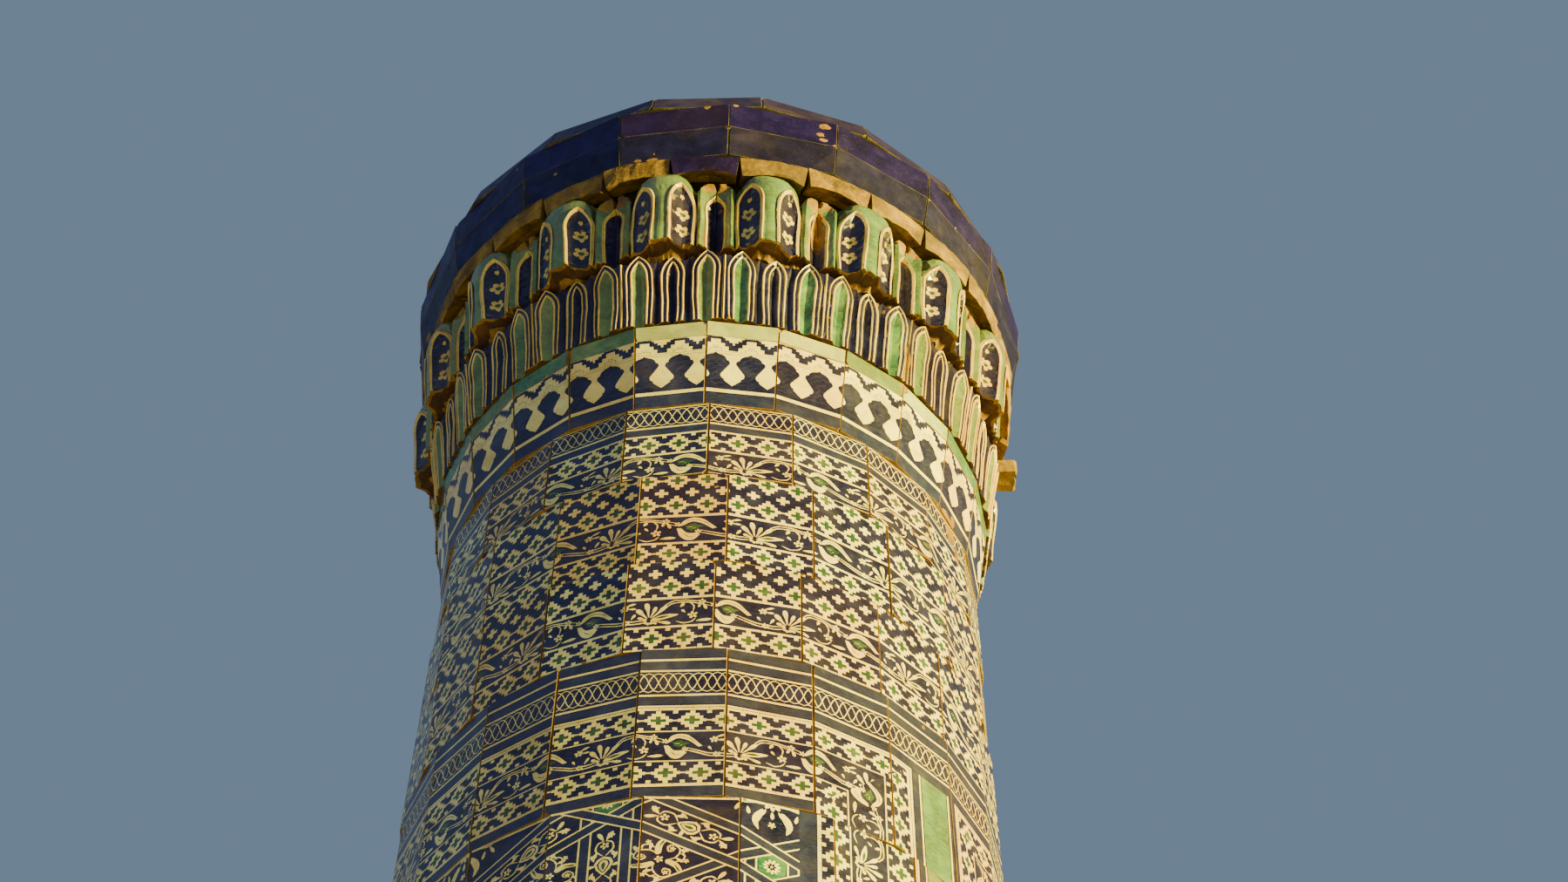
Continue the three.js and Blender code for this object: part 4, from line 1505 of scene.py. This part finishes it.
def fan_motif():
    """Arabesque of the wide fields at the panel's top and bottom edges; the field narrows along y."""
    half = [lobe(30, -10, 62, -34, 100, -40, 142, -26, 108, -24, 76, -14, 48, 6),
            lobe(26, 30, 50, 52, 56, 86, 40, 112, 40, 84, 28, 58),
            stem(0.0046, 50, 12, 84, 16, 104, 0, 132, -4), stem(0.0046, 40, -40, 66, -62, 104, -68, 150, -62),
            stem(0.0046, 150, -30, 172, -12, 196, -22, 196, -44),
            leaf(86, 18, 34, 12, 62), leaf(70, 30, 30, 11, 100), leaf(150, -62, 40, 12, 12),
            leaf(110, -66, 28, 10, -40), (CREAM, floret(0.132, -0.004, 0.0125, 0.4)),
            (CREAM, floret(0.172, -0.034, 0.0115, 0.9)), (CREAM, floret(0.216, -0.052, 0.01, 0.2)),
            (GREEN, petal(0.062, -0.022, 0.03, 0.007, -8))]
    motif = [(paint, [(side * x, y) for x, y in points]) for side in (1, -1) for paint, points in half]
    motif += [(CREAM, rosette(0.03, 9, 0.2)), (COBALT, rosette(0.016, 7)), (CREAM, disc(0, 0, 0.005))]
    for degrees in (60, 90, 120, -70, -110):
        c, s = math.cos(math.radians(degrees)), math.sin(math.radians(degrees))
        motif.append((CREAM, petal(0.034 * c, 0.034 * s, 0.03, 0.011, degrees)))
    return motif + [(CREAM, floret(0, 0.086, 0.011, 0.3))]


STAR, STRIP, TRIANGLE, FAN = star_motif(), strip_motif(), triangle_motif(), fan_motif()


def paint_strapwork(canvas, across, spacing):
    """Pairs of straps in three directions that cross round small hexagons; across is the panel's middle."""
    step = (PANEL_HEIGHT - 2 * 0.238) / 4
    middle = PANEL_HEIGHT / 2
    slope = math.atan2(step / 2, spacing)
    margin = 0.16

    def place(motif, x, y, turn):
        beside = canvas.left - margin < x < canvas.right + margin
        if beside and canvas.foot - margin < y < canvas.top + margin:
            for paint, points in motif:
                canvas.add(paint, around(points, x, y, turn))

    crossings = [(across + i * spacing, middle + (j + 0.5 * (i % 2)) * step)
                 for i in range(-4, 5) for j in range(-4, 4)]
    for x, y in crossings:
        if abs(y + step / 2 - middle) > 2 * step and abs(round((x - across) / spacing)) % 2 == 0:
            place(FAN, x, y + step / 2, math.pi * (y > middle))
            continue
        place(TRIANGLE, x + spacing / 3, y + step / 2, math.pi)
        place(TRIANGLE, x - spacing / 3, y + step / 2, 0)
        place(STRIP, x, y + step / 2, math.pi / 2)
    for x, y in crossings:
        place(STRIP, x + spacing / 2, y + step / 4, slope)
        place(STRIP, x + spacing / 2, y - step / 4, -slope)
    for direction in (math.pi / 2, slope, -slope):
        c, s = math.cos(direction), math.sin(direction)
        vertical = direction > 1
        apart = spacing if vertical else step * c
        for k in range(-9, 10):
            # every second pair of upright straps stops at its last crossing
            reach = 2 * step + 0.04 if vertical and k % 2 == 0 else 4
            for side in (-1, 1):
                offset = k * apart + side * STRAP_OFFSET
                ox, oy = across - s * offset, middle + c * offset
                off = ((canvas.left + canvas.right) / 2 - ox) * s - ((canvas.foot + canvas.top) / 2 - oy) * c
                if abs(off) < 0.32:
                    a, b = reach * c, reach * s
                    for width, paint in STRAP:
                        hs, hc = width / 2 * s, width / 2 * c
                        canvas.add(paint, [(ox - a + hs, oy - b - hc), (ox + a + hs, oy + b - hc),
                                           (ox + a - hs, oy + b + hc), (ox - a - hs, oy - b + hc)])
    for x, y in crossings:
        place(STAR, x, y, 0)


def below_mitre(points):
    """The part of an outline, in (level, distance along the edge), that lies under the diagonal."""
    kept = []
    for a, b in zip(points, points[1:] + points[:1]):
        da, db = a[0] - a[1], b[0] - b[1]
        if da >= 0:
            kept.append(a)
        if (da > 0 > db) or (da < 0 < db):
            t = da / (da - db)
            kept.append((a[0] + (b[0] - a[0]) * t, a[1] + (b[1] - a[1]) * t))
    return kept


def paint_border(canvas, edge, direction, pitch, mitred):
    """One upright border, from the panel's edge outwards; mitred where it turns out of a band."""
    levels = sorted((direction * (canvas.left - edge), direction * (canvas.right - edge)))
    if levels[0] > BORDER_WIDTH or levels[1] < -0.01:
        return
    rows = Canvas(canvas.foot, canvas.top, *levels, canvas.fine)
    rows.add(COBALT, box(-1, 0, 4, BORDER_WIDTH + 0.001))
    paint_frame(rows, pitch, 0.39)
    rows.stripes((SLATE, 0.371, 0.392), (CREAM, 0.396, 0.402), (TURQUOISE, 0.406, BORDER_WIDTH + 0.001))
    for paint, points in rows.shapes:
        if mitred:
            points = [(x, y) for y, x in below_mitre([(y, min(x, 0.366)) for x, y in points])]
        if len(points) > 2:
            canvas.add(paint, [(edge + direction * y, x) for x, y in points])


def paint_borders(canvas, ring, azimuth, pitch, mitred=False):
    """Both upright borders, on a ring whose first tile starts at an azimuth."""
    middle = (BORDER_AZIMUTH - azimuth) / 360 * ring
    for k in range(-2, 4):
        for direction in (1, -1):
            paint_border(canvas, middle + k * ring / 2 - direction * BORDER_WIDTH, direction, pitch, mitred)


def paint_band_above(canvas, width, pitch):
    """The band over the panels: its framing rows turn down into the borders."""
    paint_band(canvas, width, pitch)
    paint_borders(canvas, BAND_SIDES * width, BAND_AZIMUTH, pitch, True)


def paint_band_below(canvas, width, pitch):
    """The band under the panels, the same the other way up."""
    height = TILE_BAND
    upturned = Canvas(canvas.left, canvas.right, height - canvas.top, height - canvas.foot,
                      canvas.fine, canvas.ring)
    paint_band_above(upturned, width, pitch)
    canvas.shapes += [(paint, [(x, height - y) for x, y in points]) for paint, points in upturned.shapes]


def paint_panels(canvas, width, pitch):
    """Both panels and their borders, in heights from the storey's foot."""
    ring = PANEL_SIDES * width
    for k in range(-2, 4):
        across = (BORDER_AZIMUTH - 90 - PANEL_AZIMUTH) / 360 * ring + k * ring / 2
        if canvas.left - ring / 4 < across < canvas.right + ring / 4:
            panel = Canvas(max(canvas.left, across - ring / 4), min(canvas.right, across + ring / 4),
                           canvas.foot, canvas.top, canvas.fine)
            paint_strapwork(panel, across, COLUMN_DEGREES / 360 * ring)
            canvas.shapes += panel.shapes
    canvas.stripes((CREAM, 0.002, 0.01), (CREAM, PANEL_HEIGHT - 0.01, PANEL_HEIGHT - 0.002))
    paint_borders(canvas, ring, PANEL_AZIMUTH, pitch)


def lay_panels():
    """The strapwork storey's tiles, one piece for each row."""
    rise = PANEL_HEIGHT / PANEL_ROWS
    for row in range(PANEL_ROWS):
        low, high = PANEL_FOOT + row * rise, PANEL_FOOT + (row + 1) * rise
        lay_ring(f"panel_tiles_{row + 1}", PANEL_SIDES, PANEL_AZIMUTH, low, high, paint_panels, 60 + row,
                 painted_from=row * rise)


def add_brick(piece, start, end, foot, top, back, front, rng, columns=3, bevel=0.004, rough=0.0015,
              paint=CLAY):
    """One brick bent to the ring, with worn edges."""
    verts = []
    degrees = math.degrees(bevel / front)
    for inset, radius in ((1, front), (0, front - bevel), (0, back)):
        a, b = start + inset * degrees, end - inset * degrees
        across = [a + (b - a) * i / columns for i in range(columns + 1)]
        for azimuths, level in ((across, foot + inset * bevel), (across[::-1], top - inset * bevel)):
            verts += [polar(x, radius + rng.uniform(-rough, rough), level + rng.uniform(-rough, rough))
                      for x in azimuths]
    count = 2 * (columns + 1)
    faces = []
    for i in range(columns):
        faces.append([i, i + 1, count - 2 - i, count - 1 - i])
        faces.append([2 * count + i, 3 * count - 1 - i, 3 * count - 2 - i, 2 * count + i + 1])
    for level in (0, count):
        for i in range(count):
            after = (i + 1) % count
            faces.append([level + after, level + i, level + count + i, level + count + after])
    piece.add(verts, faces, [paint] * len(faces), rng.uniform(-1, 1))


def lay_plinth():
    """Brick courses round the plinth, and its sloping top course."""
    courses, bricks = 13, 24
    step = 360 / bricks
    shoulder = PLINTH_HEIGHT - 0.06
    rise = shoulder / courses
    joint = (0.003, 0.006)
    piece = Piece()
    rng = random.Random(70)
    for course in range(courses):
        offset = 0.5 * (course % 2) * step
        for i in range(bricks):
            start = offset + i * step
            gap = math.degrees(rng.uniform(*joint) / 1.092)
            foot, top = course * rise + rng.uniform(*joint), (course + 1) * rise - rng.uniform(*joint)
            front = 1.0965 + rng.uniform(-0.002, 0.002)
            add_brick(piece, start + gap, start + step - gap, foot, top, 1.084, front, rng)
    lay_course(48, 0, shoulder, PLINTH_HEIGHT, 1.092, 1.032, unpainted, 71, piece, CLAY, chips=0.3, wear=0.0)
    piece.build("plinth_bricks", "fired_brick", [MATERIALS["brick"]] * len(PAINT_NAMES))


def lay_broken_unit():
    """The gap where a glazed block is lost: rough brickwork, with one brick standing out."""
    piece = Piece()
    rng = random.Random(75)
    left, right, courses = 78.5, 98.3, 5
    foot, top = UPPER_FOOT, UPPER_FOOT + UPPER_HEIGHT
    rise = (top - foot) / courses
    for course in range(courses):
        shift = (course % 2) * 3.2
        edges = [left] + [left + shift + k * 6.6 for k in range(1, 4)] + [right]
        edges = sorted({round(e, 2) for e in edges if e < right + 0.1})
        for a, b in zip(edges, edges[1:]):
            if b - a >= 1.5:
                low, high = foot + course * rise + 0.004, foot + (course + 1) * rise - 0.005
                front = 0.958 + rng.uniform(-0.012, 0.014)
                add_brick(piece, a + 0.25, b - 0.25, low, high, 0.89, front, rng, 3, 0.006, 0.0035)
    # the mortar behind the bricks, and the brick that stands out
    add_brick(piece, 78.45, 98.35, foot, top - 0.0003, 0.882, 0.94, rng, 8, 0.002, 0.003, SLATE)
    add_brick(piece, 86.4, 91.4, 10.043, 10.106, 0.92, 1.06, rng, 4, 0.006, 0.003)
    piece.build("broken_unit_brickwork", "cornice_clay", palette(slate="mortar", clay="hood"),
                [f"upper_muqarnas_{LOST_UNIT + 1:02d}"])


def lay_hoods():
    """The ring of clay hoods under the crown; one is glazed blue."""
    piece = Piece()
    rng = random.Random(80)
    count, stations, corners = 28, 10, 8
    step = 360 / count
    base = 10.375
    jitter = 0.0018
    for k in range(count):
        centre = 2.5 + (k + 0.5) * step
        glazed = k == count - 1
        push = rng.uniform(-0.004, 0.004)
        drop = rng.uniform(-0.004, 0.003)
        twist = rng.uniform(-0.006, 0.006)
        sags = [rng.uniform(-0.0035, 0.0035) for _ in range(stations + 1)]
        verts, faces, paints = [], [], []
        for i, sag in enumerate(sags):
            share = 2 * i / stations - 1
            lift = 0.024 * (1 - share * share) + sag
            # radius, height, and degrees that the end is cut back
            for radius, height, cut in (
                    (1.051, -0.024 + lift, 0.62), (1.056, 0.008, 0.42), (1.063, 0.06, 0.12),
                    (1.063, 0.0735, 0.1), (0.972, 0.0735, 0.1), (0.972, 0.036 + 0.6 * lift, 0.3),
                    (1.0, 0.018 + 1.1 * lift, 0.4), (1.036, -0.012 + 1.1 * lift, 0.6)):
                radius = radius + push + share * twist + rng.uniform(-jitter, jitter)
                level = base + height + (drop if height < 0.05 else 0)
                level += rng.uniform(-jitter, jitter) * (height < 0.07)
                verts.append(polar(centre + share * (step / 2 - cut), radius, level))
        for i in range(stations):
            for j in range(corners):
                a, b = i * corners + j, i * corners + (j + 1) % corners
                faces.append([a, a + corners, b + corners, b])
                paints.append(COBALT if glazed and j in (0, 1, 2) else CLAY)
        faces.append(list(range(corners)))
        faces.append([stations * corners + j for j in reversed(range(corners))])
        piece.add(verts, faces, paints + [CLAY, CLAY], rng.uniform(-1, 0.6))
    piece.build("hoods", "cornice_clay", palette(cobalt="violet", clay="hood"), ["hood_course"])


add_camera()
add_studio()
lay_shaft()
lay_panels()
lay_plinth()
lay_cornice()
lay_broken_unit()
lay_hoods()
lay_crown()
